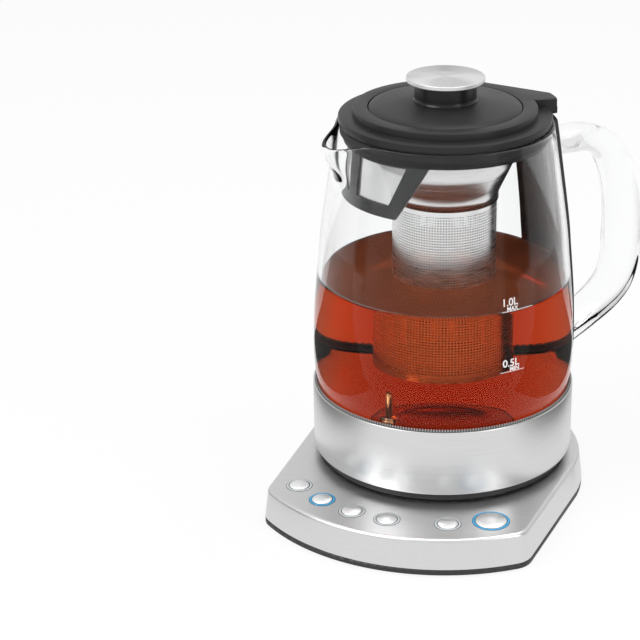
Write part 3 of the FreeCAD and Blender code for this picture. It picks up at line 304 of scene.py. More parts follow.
def bright_steel():
    """Smooth drawn steel inside the kettle."""
    return metal("Drawn steel", (0.80, 0.80, 0.80), (40, 40, 1200), 0.16, 0.28, 0.05)


def spun_steel():
    """Turned steel of the knob: rings round the axis and fans of light."""
    return metal("Spun steel", (0.74, 0.74, 0.74), (30, 30, 3000), 0.26, 0.36, 0.04,
                 Anisotropic=0.85)


def plate_steel():
    """Dull polished steel of the heating plate."""
    return metal("Plate steel", (0.62, 0.62, 0.62), (14, 14, 14), 0.24, 0.32, 0.0)


def cap_steel():
    """Bright satin steel of the button caps."""
    return metal("Button steel", (0.92, 0.92, 0.92), (60, 2000, 2000), 0.42, 0.52, 0.05)


def brass():
    """Plated contact metal."""
    return metal("Contact brass", (0.80, 0.60, 0.28), (600, 600, 600))


def gauze():
    """Fine steel gauze: crossed wires as a pattern, with light between them."""
    pitch = 0.0006
    if "Filter gauze" in bpy.data.materials:
        return bpy.data.materials["Filter gauze"]
    material = metal("Filter gauze", (0.85, 0.85, 0.85), (900, 900, 900), 0.3, 0.45)
    tree = material.node_tree
    apart = add(tree, "ShaderNodeSeparateXYZ")
    tree.links.new(found(tree, "TEX_COORD").outputs["Object"], apart.inputs[0])
    both = add(tree, "ShaderNodeMath", operation="MAXIMUM")
    for number, axis in enumerate((0, 2)):
        wave = add(tree, "ShaderNodeMath", operation="MULTIPLY", i1=2 * math.pi / pitch)
        tree.links.new(apart.outputs[axis], wave.inputs[0])
        swing = add(tree, "ShaderNodeMath", operation="SINE")
        tree.links.new(wave.outputs[0], swing.inputs[0])
        tree.links.new(swing.outputs[0], both.inputs[number])
    thick = add(tree, "ShaderNodeMapRange", i1=0.55, i2=0.75, i3=0.12, i4=0.62)
    tree.links.new(both.outputs[0], thick.inputs[0])
    tree.links.new(thick.outputs[0], found(tree, "BSDF_PRINCIPLED").inputs["Alpha"])
    return material


def sieve_steel():
    """Bright perforated sheet whose inner side, seen through the holes, is painted dark as painted shade
    inside the basket.
    """
    if "Sieve steel, painted shade inside" in bpy.data.materials:
        return bpy.data.materials["Sieve steel, painted shade inside"]
    material = metal("Sieve steel, painted shade inside", (0.86, 0.86, 0.86), (60, 60, 900), 0.22, 0.34, 0.04)
    tree = material.node_tree
    side = add(tree, "ShaderNodeNewGeometry")
    # Painted shade: back faces, the inner side seen through the holes, take a dark grey instead of the
    # steel's colour.
    painted_shade = add(tree, "ShaderNodeMix", data_type="RGBA", i7=(0.05, 0.05, 0.05, 1))
    tree.links.new(side.outputs["Backfacing"], painted_shade.inputs[0])
    tree.links.new(found(tree, "GROUP").outputs["Color"], painted_shade.inputs[6])
    tree.links.new(painted_shade.outputs[2], found(tree, "BSDF_PRINCIPLED").inputs["Base Color"])
    return material


def lid_plastic():
    """Satin dark plastic of the lid."""
    colour = bpy.context.scene.tea_maker_colours.lid
    return plastic("Lid plastic", colour, 0.36, 0.46, 0.22, Grain=1500.0, Depth=0.12, Wear=0.2)


def black_plastic():
    """Matte black plastic."""
    return plastic("Black plastic", (0.018, 0.018, 0.019), 0.40, 0.55)


def gloss_black():
    """Smooth black plastic."""
    return plastic("Gloss black plastic", (0.012, 0.012, 0.013), 0.16, 0.26, Depth=0.04)


def neck_plastic():
    """Satin black plastic of the knob's neck."""
    return plastic("Neck plastic", (0.008, 0.008, 0.008), 0.26, 0.34, 0.35, Depth=0.04)


def smoke_plastic():
    """Smoky grey plastic of the pouring filter's frame."""
    return plastic("Smoke plastic", (0.055, 0.055, 0.057), 0.3, 0.42, 0.4, Grain=900.0)


def rubber():
    """Soft black rubber."""
    return plastic("Black rubber", (0.02, 0.02, 0.02), 0.6, 0.8, Grain=900.0, Depth=0.3)


def board_mask():
    """Green solder mask of the circuit boards."""
    return plastic("Solder mask", (0.03, 0.20, 0.08), 0.3, 0.5, Grain=600.0)


def part_plastic():
    """Grey plastic of small electric parts."""
    return plastic("Component plastic", (0.12, 0.12, 0.13), 0.4, 0.6)


def gasket_clear():
    """Pale silicone of the gasket's ribs."""
    return plastic("Rib silicone", (0.34, 0.34, 0.34), 0.3, 0.45)


def gasket_dark():
    """Smoky silicone of the gasket under the glass."""
    return plastic("Gasket silicone", (0.085, 0.082, 0.08), 0.35, 0.5, Grain=700.0, Wear=0.0)


def mark_paint():
    """White printed figures."""
    return plastic("Mark paint", (0.9, 0.9, 0.9), 0.4, 0.5, Grain=3000.0, Wear=0.0)


def tea_painted_glow():
    """Painted light on the tea: a brown sheen standing for light that comes back up through the tea,
    seen from above, with lighter patches.
    """
    return plastic("Tea painted glow", (0.36, 0.085, 0.03), 0.25, 0.35, 0.0, 0.62, Grain=60.0,
                   Depth=0.0, Wear=0.0)


def light_ring(lit):
    """Translucent ring round a button, glowing where it is lit."""
    if not lit:
        return plastic("Light ring dark", (0.5, 0.53, 0.55), 0.25, 0.35, Grain=700.0)
    colour = bpy.context.scene.tea_maker_colours.glow
    material = plastic("Light ring lit", colour, 0.25, 0.35, Grain=700.0)
    shader = found(material.node_tree, "BSDF_PRINCIPLED")
    shader.inputs["Emission Color"].default_value = with_alpha(colour)
    shader.inputs["Emission Strength"].default_value = 0.35
    return material


def clear_matter(name, colour, tint, bend, waves, strength, distance):
    """Clear matter that bends light by an index, with faint waves in its surface."""
    material, tree, shader, place = new_material(name)
    for key, value in (("Base Color", with_alpha(colour)), ("Specular Tint", (tint, tint, tint, 1)),
                       ("Roughness", 0.0), ("IOR", bend), ("Transmission Weight", 1.0)):
        shader.inputs[key].default_value = value
    noise = add(tree, "ShaderNodeTexNoise", i2=waves, i3=1.0)
    tree.links.new(place, noise.inputs["Vector"])
    bump = add(tree, "ShaderNodeBump", i0=strength, i1=distance)
    tree.links.new(noise.outputs["Fac"], bump.inputs["Height"])
    tree.links.new(bump.outputs[0], shader.inputs["Normal"])
    return material


def clear_glass():
    """Clear glass with faint draw lines in its surface."""
    if "Clear glass" in bpy.data.materials:
        return bpy.data.materials["Clear glass"]
    return clear_matter("Clear glass", (0.985, 0.99, 0.99), 0.16, 1.47, 9.0, 0.05, 0.0005)


def tea_liquid():
    """Clear tea that colours the light along its way."""
    if "Tea" in bpy.data.materials:
        return bpy.data.materials["Tea"]
    material = clear_matter("Tea", (1.0, 0.86, 0.70), 0.02, 1.33, 25.0, 0.015, 0.0004)
    tree = material.node_tree
    depth = add(tree, "ShaderNodeVolumeAbsorption")
    depth.inputs["Color"].default_value = with_alpha(bpy.context.scene.tea_maker_colours.tea)
    depth.inputs["Density"].default_value = 44.0
    tree.links.new(depth.outputs[0], found(tree, "OUTPUT_MATERIAL").inputs["Volume"])
    return material


# Shapes

def placed(name, data):
    """A new object that stands in the scene."""
    thing = bpy.data.objects.new(name, data)
    bpy.context.scene.collection.objects.link(thing)
    return thing


def shaded(mesh, angle=35.0):
    """Smooth shading, with edges sharper than an angle left crisp."""
    mesh.polygons.foreach_set("use_smooth", np.ones(len(mesh.polygons), dtype=bool))
    mesh.set_sharp_from_angle(angle=math.radians(angle))
    mesh.update()


def piece(name, points, faces, material, body, slot, replaced=(), angle=35.0):
    """A new object from arrays of points and faces, on its body."""
    mesh = bpy.data.meshes.new(name)
    mesh.from_pydata(points.tolist(), [], faces if isinstance(faces, list) else faces.tolist())
    mesh.validate()
    shaded(mesh, angle)
    thing = placed(name, mesh)
    mesh.materials.append(material)
    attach(thing, body)
    if replaced:
        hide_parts(*replaced)
    return thing


def closed_piece(*words, **more):
    """A piece whose faces are turned outwards."""
    thing = piece(*words, **more)
    shell = bmesh.new()
    shell.from_mesh(thing.data)
    bmesh.ops.recalc_face_normals(shell, faces=shell.faces)
    shell.to_mesh(thing.data)
    shell.free()


def copied(name, node, material, body, angle=30.0):
    """A smooth-shaded copy of a CAD node: its doubles are merged, and it stands for the node."""
    shell = bmesh.new()
    shell.from_mesh(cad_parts[node].data)
    bmesh.ops.remove_doubles(shell, verts=shell.verts, dist=1e-6)
    mesh = bpy.data.meshes.new(name)
    shell.to_mesh(mesh)
    shell.free()
    mesh.materials.clear()
    mesh.materials.append(material)
    shaded(mesh, angle)
    thing = placed(name, mesh)
    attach(thing, body)
    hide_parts(node)
    return thing


def finish_nodes(material, *nodes):
    """Gives CAD nodes that keep their own shape their finish."""
    for node in nodes:
        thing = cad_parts[node]
        for slot in thing.material_slots:
            slot.material = material


def grid_faces(rows, columns, wrap_rows=False, wrap_columns=True):
    """Quads over a grid of points numbered row by row; a wrapped side meets its other side."""
    row_steps = np.arange(rows if wrap_rows else rows - 1)
    column_steps = np.arange(columns if wrap_columns else columns - 1)
    row, column = np.meshgrid(row_steps, column_steps, indexing="ij")
    row, column = row.ravel(), column.ravel()
    up = (row + 1) % rows
    along = (column + 1) % columns
    return np.stack([row * columns + column, row * columns + along,
                     up * columns + along, up * columns + column], axis=1)


def rounded(profile, steps=5):
    """A closed or open profile with its corners rounded.

    Each corner is (radius, height, rounding).  The corner is replaced by a
    quadratic curve whose ends lie one rounding away along its two sides.
    """
    corners = np.array(profile, dtype=float)
    before = np.roll(corners, 1, axis=0)
    after = np.roll(corners, -1, axis=0)
    t = np.linspace(0, 1, steps)[None, :, None]
    here = corners[:, None, :2]
    lengths = []
    for other in (before, after):
        way = other[:, :2] - corners[:, :2]
        size = np.linalg.norm(way, axis=1, keepdims=True)
        reach = np.minimum(corners[:, 2:3], size * 0.49)
        lengths.append((corners[:, :2] + way / np.maximum(size, 1e-9) * reach)[:, None, :])
    start, end = lengths
    curve = (1 - t) ** 2 * start + 2 * t * (1 - t) * here + t ** 2 * end
    return curve.reshape(-1, 2)


def round_axis(radius, angle, level):
    """Points at radii, angles and levels: x is r cos, y is r sin."""
    place = np.broadcast_arrays(radius * np.cos(angle), radius * np.sin(angle), level)
    return np.stack(place, axis=-1).reshape(-1, 3)


def whole_turn(count):
    """Angles of a whole turn in equal steps."""
    return np.linspace(0, 2 * math.pi, count, endpoint=False)


def revolved(profile, count=160, centre=(0.0, 0.0)):
    """Points and quads of a closed profile carried round the axis."""
    points = round_axis(profile[:, :1], whole_turn(count), profile[:, 1:])
    points[:, :2] += centre
    return points, grid_faces(len(profile), count, wrap_rows=True)[:, ::-1]


def smooth_path(points, count):
    """A smooth line through points: cubic pieces whose slope at a point is that of its neighbours."""
    points = np.array(points, dtype=float)
    ends = np.vstack([2 * points[0] - points[1], points, 2 * points[-1] - points[-2]])
    spans = len(points) - 1
    place = np.linspace(0, spans, count)
    index = np.minimum(place.astype(int), spans - 1)
    t = (place - index)[:, None]
    a, b, c, e = (ends[index + step] for step in range(4))
    return 0.5 * (2 * b + (c - a) * t + (2 * a - 5 * b + 4 * c - e) * t ** 2
                  + (3 * b - a - 3 * c + e) * t ** 3)


def turned_points(points, angle):
    """Points turned about Z."""
    c, s = math.cos(angle), math.sin(angle)
    return points @ np.array([[c, s, 0], [-s, c, 0], [0, 0, 1]])


def bent_panel(levels, half_angles, outer, inner, middle, columns=24):
    """A curved plate of one thickness, round the axis about a middle angle.

    At each level it spans its half angle to both sides, between its inner and outer radius.
    """
    share = np.linspace(-1, 1, columns)[:, None]
    half = np.concatenate([half_angles, half_angles[::-1]])[None, :]
    angle = middle + share * half
    radius = np.concatenate([outer, inner[::-1]])[None, :]
    level = np.concatenate([levels, levels[::-1]])[None, :]
    loop = 2 * len(levels)
    faces = grid_faces(columns, loop).tolist()
    last = (columns - 1) * loop
    for step in range(len(levels) - 1):
        edge = [step, step + 1, loop - 2 - step, loop - 1 - step]
        faces.append(edge)
        faces.append([last + number for number in edge[::-1]])
    return round_axis(radius, angle, level), faces


def joined_shapes(shapes):
    """Several points-and-faces pairs as one."""
    points, faces, count = [], [], 0
    for spots, sides in shapes:
        points.append(spots)
        faces += [[number + count for number in side] for side in sides]
        count += len(spots)
    return np.vstack(points), faces


# Glass

# The glass's outline in millimetres: radius against height above the steel band's crown.
GLASS_OUTLINE = ((68.4, -3.2), (69.3, 2.0), (70.3, 9.0), (70.8, 19.5), (70.6, 30.0), (69.85, 46.0),
                 (68.65, 60.0), (67.25, 74.0), (66.0, 87.0), (64.1, 101.0), (62.1, 114.5),
                 (60.0, 128.5), (58.4, 139.5), (57.5, 144.5), (57.3, 146.6))


def glass_radius(height):
    """Outside radius of the glass at a height above the table, in metres."""
    outline = np.array(GLASS_OUTLINE) * 0.001
    line = smooth_path(outline, 400)
    return np.interp(height - band_crown, line[:, 1], line[:, 0])


def lip_shape(turn, share):
    """How far the pouring lip stands out at an angle from its middle and a share of the height.

    A bell across the lip, narrower lower down, times a soft rise to the rim.
    """
    settings = bpy.context.scene.tea_maker_sizes
    grow = np.clip((share - 0.80) / 0.20, 0, 1)
    rise = grow * grow * (3 - 2 * grow)
    rise = rise ** 1.25
    width = 0.155 + 0.10 * grow
    bell = np.exp(-(np.abs(turn) / width) ** 2.3)
    return (settings.lip_reach - 0.0573) * bell * rise, bell * rise


class TEAMAKER_OT_glass(Operator):
    """Makes the glass body with its pouring lip, and the glass handle"""

    bl_idname = "teamaker.glass"
    bl_label = "Glass body and handle"

    def execute(self, context):
        settings = context.scene.tea_maker_sizes
        columns, rows = 288, 96
        turn = whole_turn(columns)
        spout = settings.handle_turn + math.pi
        away = (turn - spout + math.pi) % (2 * math.pi) - math.pi
        share = np.linspace(0, 1, rows) ** 0.85
        rim_rise = 0.0012
        height = glass_base + 0.00002 + (glass_crown - glass_base - rim_rise) * share
        out, lip = lip_shape(away[None, :], share[:, None])
        radius = glass_radius(height)[:, None] + out
        level = height[:, None] - settings.lip_dip * lip
        wall = settings.glass_wall
        # The rim is a half oval from the outer to the inner wall, a little flatter than a circle.
        flatness = 0.9
        roll = np.linspace(0, math.pi, 9)[1:-1]
        top_radius, top_level = radius[-1], level[-1]
        rim_radius = top_radius[None, :] - wall / 2 * (1 - np.cos(roll))[:, None]
        rim_level = top_level[None, :] + wall / 2 * flatness * np.sin(roll)[:, None]
        all_radius = np.vstack([radius, rim_radius, (radius - wall)[::-1]])
        all_level = np.vstack([level, rim_level, level[::-1]])
        faces = grid_faces(len(all_radius), columns, wrap_rows=True)
        piece("glass_jug", round_axis(all_radius, turn, all_level), faces, clear_glass(), "jug",
              "clear_glass", ("glass_body",), angle=60.0)
        self.handle(settings)
        return {"FINISHED"}

    def handle(self, settings):
        """A round-cornered oval carried along the handle's middle line.

        The oval is (w sign(cos) |cos|^p, h sign(sin) |sin|^p) across the line's normal.
        """
        top = glass_crown - 0.0205
        low = band_crown + 0.0037
        # The middle line: radius and level in metres, then the half height in millimetres.
        line = [(0.0600, top, 7.4), (0.0720, top, 7.3), (0.0865, top - 0.0006, 7.4),
                (0.0990, top - 0.0068, 8.4), (0.1067, top - 0.0185, 9.8),
                (0.1108, top - 0.0325, 10.2), (0.1130, top - 0.0500, 10.5),
                (0.1132, low + 0.0580, 10.8), (0.1127, low + 0.0460, 10.7),
                (0.1087, low + 0.0340, 10.2), (0.1007, low + 0.0250, 9.2),
                (0.0892, low + 0.0170, 8.2), (0.0772, low + 0.0102, 7.6),
                (0.0652, low + 0.0044, 7.2)]
        path = smooth_path([(a, b, c * 0.001) for a, b, c in line], 120)
        keep = path[:, 0] > glass_radius(path[:, 1]) + 0.0009
        first, last = np.argmax(keep), len(keep) - np.argmax(keep[::-1])
        path = path[first:last]
        ahead = np.gradient(path[:, :2], axis=0)
        ahead /= np.linalg.norm(ahead, axis=1, keepdims=True)
        normal = np.stack([-ahead[:, 1], ahead[:, 0]], axis=1)
        count, half_width, flat = 48, 0.0112, 0.86
        around = whole_turn(count)
        across = half_width * np.sign(np.cos(around)) * np.abs(np.cos(around)) ** flat
        up = np.sign(np.sin(around)) * np.abs(np.sin(around)) ** flat
        radius, level = (path[:, axis, None] + normal[:, axis, None] * path[:, 2, None] * up
                         for axis in (0, 1))
        side = np.broadcast_to(across, radius.shape)
        points = np.stack([radius, side, level], axis=-1).reshape(-1, 3)
        faces = grid_faces(len(path), count).tolist()
        faces.append(list(range(count))[::-1])
        faces.append([(len(path) - 1) * count + step for step in range(count)])
        closed_piece("glass_grip", turned_points(points, settings.handle_turn), faces,
                     clear_glass(), "jug", "clear_glass", ("glass_handle",), angle=60.0)


class TEAMAKER_OT_tea(Operator):
    """Makes the tea that fills the glass to its level"""

    bl_idname = "teamaker.tea"
    bl_label = "Tea"

    def execute(self, context):
        settings = context.scene.tea_maker_sizes
        creep_height = 0.0008
        height = np.linspace(plate_face + 0.0003, settings.tea_level - creep_height, 40)
        side = glass_radius(height) - settings.glass_wall + 0.00025
        # The surface climbs the glass a little at its edge.
        creep = np.linspace(0, 1, 8)
        brim_radius = side[-1] - 0.0035 * creep
        brim_level = settings.tea_level - creep_height * creep ** 0.35 * np.where(creep > 0, 1, 0)
        radius = np.concatenate([[0.0], side, brim_radius[1:], [0.0]])
        level = np.concatenate([[height[0]], height, brim_level[1:], [brim_level[-1]]])
        points, faces = fan_closed(radius, level)
        piece("tea", points, faces, tea_liquid(), "jug", "clear_glass", angle=50.0)
        # A thin brown sheet just above the surface, between the sieve and the glass: painted light
        # standing for the glow that comes back up through the tea.
        inner, outer = 0.0281, side[-1] - 0.0009
        low, high = brim_level[-1] + 0.00006, brim_level[-1] + 0.00016
        sheet = np.array([(inner, low), (outer, low), (outer, high), (inner, high)])
        points, faces = revolved(sheet, 192)
        closed_piece("tea_face", points, faces, tea_painted_glow(), "jug", "clear_glass")
        return {"FINISHED"}


def fan_closed(radius, level, count=192):
    """A solid of revolution whose profile starts and ends on the axis, closed by fans there."""
    points = round_axis(radius[1:-1, None], whole_turn(count), level[1:-1, None])
    faces = grid_faces(len(radius) - 2, count).tolist()
    low, high = len(points), len(points) + 1
    points = np.vstack([points, [[0, 0, level[0]], [0, 0, level[-1]]]])
    start = (len(radius) - 3) * count
    faces += [[low, (step + 1) % count, step] for step in range(count)]
    faces += [[high, start + step, start + (step + 1) % count] for step in range(count)]
    return points, faces


class TEAMAKER_OT_marks(Operator):
    """Prints the generic capacity marks on the glass"""

    bl_idname = "teamaker.marks"
    bl_label = "Capacity marks"

    def execute(self, context):
        settings = context.scene.tea_maker_sizes
        middle = settings.handle_turn - math.radians(84.3)
        # The font's size is this many times the height of its figures.
        size_of_figure = 1.35
        small = 0.55
        for number, (words, level, tall) in enumerate((
                ("1.0L", 0.1314, 1.0), ("MAX", 0.1279, small), ("0.5L", 0.0984, 1.0),
                ("MIN", 0.0951, small))):
            curve = bpy.data.curves.new("mark", "FONT")
            curve.body = words
            curve.size = settings.mark_height * tall * size_of_figure
            curve.align_x = "RIGHT"
            curve.align_y = "CENTER"
            curve.offset = 0.00010
            text = placed("mark", curve)
            context.view_layer.update()
            flat = bpy.data.meshes.new_from_object(
                text.evaluated_get(context.evaluated_depsgraph_get()))
            bpy.data.objects.remove(text)
            spots = np.empty(len(flat.vertices) * 3)
            flat.vertices.foreach_get("co", spots)
            spots = spots.reshape(-1, 3)
            faces = [list(face.vertices) for face in flat.polygons]
            self.wrap("mark_figures_%d" % (number + 1), spots, faces, middle, level)
        half_line, steps = 0.00016, 17
        for number, (level, start, end) in enumerate((
                (0.1266, -0.0096, 0.0096), (0.0938, -0.0111, 0.0030))):
            across = np.linspace(start, end, steps)
            bar = np.array([(x, y, 0) for y in (-half_line, half_line) for x in across])
            faces = grid_faces(2, steps, wrap_columns=False).tolist()
            self.wrap("mark_line_%d" % (number + 1), bar, faces, middle, level)
        return {"FINISHED"}

    def wrap(self, name, spots, faces, middle, level):
        """Rolls flat points onto the glass: across becomes an angle, up stays up."""
        mean_radius, lift = 0.0686, 0.00008
        height = spots[:, 1] + level
        points = round_axis(glass_radius(height) + lift, middle + spots[:, 0] / mean_radius, height)
        piece(name, points, faces, mark_paint(), "jug", "clear_glass")


# Other pieces

class TEAMAKER_OT_kettle(Operator):
    """Finishes the kettle's foot, band, heating plate, gasket and handle strip"""

    bl_idname = "teamaker.kettle"
    bl_label = "Kettle foot and strip"

    def execute(self, context):
        settings = context.scene.tea_maker_sizes
        hem, outer, sheet = 0.0660, 0.0714, 0.001
        inner = outer - sheet
        band = rounded([(hem, band_foot, 0.0003), (outer, band_foot, 0.0008),
                        (outer, band_crown, 0.0008), (inner, band_crown, 0.0002),
                        (inner, band_foot + sheet, 0.0003), (hem, band_foot + sheet, 0.0003)])
        points, faces = revolved(band, 256)
        closed_piece("band_shell", points, faces, shell_steel(), "jug", "steel_shell",
                     ("steel_band",))
        copied("foot_ring", "jug_ring", black_plastic(), "jug")
        level = np.linspace(seal_crown + 0.0004, glass_crown - 0.001, 40)
        half = np.radians(np.interp(level, (0.064, 0.126, glass_crown), (19.5, 20.5, 22.0)))
        points, faces = bent_panel(level, half, glass_radius(level) + 0.0021,
                                   glass_radius(level) + 0.0001, settings.handle_turn, 32)
        closed_piece("strip_shell", points, faces, gloss_black(), "jug", "black_gloss",
                     ("handle_spine",))
        copied("heater_plate", "heating_plate", plate_steel(), "jug")
        copied("sensor_pin", "temperature_sensor", bright_steel(), "jug")
        copied("gasket", "glass_seal", gasket_dark(), "jug")
        self.ribs(settings.rib_count)
        finish_nodes(black_plastic(), "jug_bottom", "connector_socket")
        finish_nodes(bright_steel(), "heating_element", "sensor_nut")
        finish_nodes(part_plastic(), "thermal_cutout")
        return {"FINISHED"}

    def ribs(self, count):
        """Small pads standing round the gasket's top, repeated by turning one block."""
        block = np.array([(x, y, z) for x in (0.06985, 0.07036) for y in (-0.0003, 0.0003)
                          for z in (seal_crown - 0.0005, seal_crown + 0.0007)])
        turn = whole_turn(count)
        c, s = np.cos(turn)[:, None], np.sin(turn)[:, None]
        points = np.stack([block[:, 0] * c - block[:, 1] * s, block[:, 0] * s + block[:, 1] * c,
                           np.broadcast_to(block[:, 2], (count, 8))], axis=-1).reshape(-1, 3)
        sides = np.array([(0, 1, 3, 2), (4, 6, 7, 5), (0, 4, 5, 1), (2, 3, 7, 6), (0, 2, 6, 4),
                          (1, 5, 7, 3)])
        faces = (sides[None] + 8 * np.arange(count)[:, None, None]).reshape(-1, 4)
        closed_piece("gasket_ribs", points, faces, gasket_clear(), "jug", "black_rubber")


class TEAMAKER_OT_base(Operator):
    """Finishes the powered base with its dish, plug, boards and feet"""

    bl_idname = "teamaker.base"
    bl_label = "Powered base"

    def execute(self, context):
        copied("base_shell", "base_cover", top_steel(), "base", 25.0)
        copied("base_floor", "base_pan", black_plastic(), "base")
        copied("dish_shell", "seat_dish", gloss_black(), "base")
        copied("plug_shell", "connector_plug", black_plastic(), "base")
        copied("cord_gland", "cord_grommet", rubber(), "base")
        finish_nodes(brass(), "contact_rings")
        finish_nodes(board_mask(), "control_board", "power_board")
        finish_nodes(part_plastic(), "tact_switches", "relay")
        finish_nodes(bright_steel(), "radio_module", "pan_screws")
        finish_nodes(rubber(), "rubber_feet")
        return {"FINISHED"}


class TEAMAKER_OT_buttons(Operator):
    """Makes the six button caps and the light rings round them"""

    bl_idname = "teamaker.buttons"
    bl_label = "Buttons and light rings"

    def execute(self, context):
        copied("rings_lit", "light_rings_lit", light_ring(True), "base")
        copied("rings_dark", "light_rings_dark", light_ring(False), "base")
        for number in range(1, 7):
            copied("cap_%d" % number, "button_%d" % number, cap_steel(), "key_%d" % number)
            self.seams(number)
        return {"FINISHED"}

    def seams(self, number):
        """The dark gaps inside and outside a light ring, as two thin turned rings."""
        low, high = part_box("button_%d" % number)
        foot_rim, depth = 0.00125, 0.0004
        cap = (high[0] - low[0]) / 2 - foot_rim
        centre = ((low[0] + high[0]) / 2, (low[1] + high[1]) / 2)
        shapes = []
        for inner, width, level in ((cap + 0.0001, 0.00032, ring_crown + 0.00004),
                                    (cap + 0.00142, 0.00034, ring_crown - 0.0002)):
            profile = np.array([(inner, level - depth), (inner + width, level - depth),
                                (inner + width, level), (inner, level)])
            points, faces = revolved(profile, 64, centre)
            shapes.append((points, faces.tolist()))
        points, faces = joined_shapes(shapes)
        closed_piece("seams_%d" % number, points, faces, black_plastic(), "base", "black_plastic")


# The lid's raised ring and its tab; angles are taken from the handle.
RING_RADIUS, TAB_RADIUS = 0.0484, 0.0612
TAB_START, TAB_END, TAB_ROUND = math.radians(-4.0), math.radians(-12.4), math.radians(3.0)


class TEAMAKER_OT_lid(Operator):
    """Finishes the lid with its tab, gasket and pouring filter"""

    bl_idname = "teamaker.lid"
    bl_label = "Lid and filter"

    def execute(self, context):
        self.ring(context.scene.tea_maker_sizes.handle_turn)
        copied("lid_gasket", "lid_seal", rubber(), "lid")
        self.filter(context.scene.tea_maker_sizes.handle_turn + math.pi)
        return {"FINISHED"}

    def edge(self, turn):
        """Outer radius of the raised ring at an angle from the handle, in metres.

        A circle of 48.4 mm, a straight line that leaves it and reaches the tab's tip, and the
        tab's end, which drops back to the circle as a quarter of a rounded square.
        """
        away = math.acos(RING_RADIUS / TAB_RADIUS)
        line = RING_RADIUS / np.cos(np.clip(away - (turn - TAB_START), 0, away))
        fall = np.clip((TAB_END - turn) / TAB_ROUND, 0, 1)
        end = RING_RADIUS + (TAB_RADIUS - RING_RADIUS) * (1 - fall ** 5) ** 0.2
        return np.where(turn < TAB_START, end, line)

    def ring(self, middle):
        """The lid's ring, its tab and its skirt: one profile whose outer radii follow the edge."""
        share = np.linspace(0, 1, 26)
        fall = TAB_END - TAB_ROUND * (1 - share ** 5) ** 0.2
        line_end, fall_start = math.radians(36.0), math.radians(344.5)
        turn = np.concatenate([
            np.linspace(TAB_START, line_end, 60, endpoint=False),
            np.linspace(line_end, fall_start, 200, endpoint=False),
            fall[:-1] + 2 * math.pi,
            np.linspace(TAB_END, TAB_START, 10, endpoint=False) + 2 * math.pi])
        near = (turn + math.pi) % (2 * math.pi) - math.pi
        raised = self.edge(near)
        flange = np.maximum(0.0560, raised + 0.0003)
        base, crown = flange_foot, flange_foot + 0.0080
        step = base + 0.0038
        # Each spot is a radius, fixed or one for each angle, and a level.
        spots = [(0.0374, base - 0.0110), (0.0394, base - 0.0110), (0.0394, base),
                 (0.0512, base), (0.0512, base - 0.0090), (0.0534, base - 0.0090), (0.0534, base)]
        spots += [(flange + out, base + up)
                  for out, up in ((-0.0004, 0.0), (-0.0001, 0.0001), (0.0, 0.0004))]
        spots += [(np.maximum(flange + out, raised + 0.00015), step + up)
                  for out, up in ((0.0, -0.0006), (-0.00018, -0.00018), (-0.0006, 0.0))]
        spots += [(raised + out, step + up) for out, up in ((0.00012, 0.0), (0.00003, 0.00012))]
        spots += [(raised + out, crown + up)
                  for out, up in ((0.0, -0.0007), (-0.0002, -0.0002), (-0.0007, 0.0))]
        spots += [(0.0411, crown), (0.0407, crown - 0.0001), (0.0406, crown - 0.0005),
                  (0.0406, base + 0.00104), (0.0374, base + 0.00104)]
        radius = np.array([spot[0] * np.ones_like(turn) for spot in spots])
        level = np.array([spot[1] for spot in spots])[:, None]
        faces = grid_faces(len(radius), len(turn), wrap_rows=True)
        closed_piece("lid_shell", round_axis(radius, turn + middle, level), faces, lid_plastic(),
                     "lid", "lid_grey", ("lid_ring",), angle=32.0)

    def filter(self, middle):
        """The pouring filter: two slanted legs, a middle post, a sill and a head, and its gauze."""
        low, high = flange_foot - 0.0377, flange_foot - 0.0085

        def outer(level):
            """The plates lean out from the skirt, but still pass the glass's rim."""
            return np.interp(level, (low, high), (0.0542, 0.0512))

        def plate(start, end, half_low, half_high, centre_low, centre_high):
            """One bar between two levels."""
            level = np.linspace(start, end, 8)
            share = np.linspace(0, 1, 8)
            half = np.radians(half_low + (half_high - half_low) * share)
            centre = np.radians(centre_low + (centre_high - centre_low) * share)
            points, faces = bent_panel(level, half, outer(level), outer(level) - 0.0024, 0.0, 30)
            lean = np.interp(points[:, 2], level, centre) + middle
            c, s = np.cos(lean), np.sin(lean)
            x, y = points[:, 0] * c - points[:, 1] * s, points[:, 0] * s + points[:, 1] * c
            return np.stack([x, y, points[:, 2]], axis=-1), faces

        bars = [plate(low, high, 3.9, 6.6, side * 30.6, side * 47.4) for side in (-1, 1)]
        bars += [plate(low, high, 4.4, 5.4, 0, 0), plate(low, low + 0.0063, 33.0, 35.5, 0, 0),
                 plate(high - 0.0022, high, 52.0, 53.4, 0, 0)]
        points, faces = joined_shapes(bars)
        closed_piece("filter_bars", points, faces, smoke_plastic(), "lid", "black_plastic",
                     ("filter_frame",), angle=40.0)
        level = np.linspace(low + 0.001, high, 24)
        half = np.radians(np.linspace(33.5, 53.0, 24))
        points, faces = bent_panel(level, half, outer(level) - 0.0010, outer(level) - 0.0014,
                                   middle, 60)
        closed_piece("filter_screen", points, faces, gauze(), "lid", "steel_sieve",
                     ("filter_mesh",))


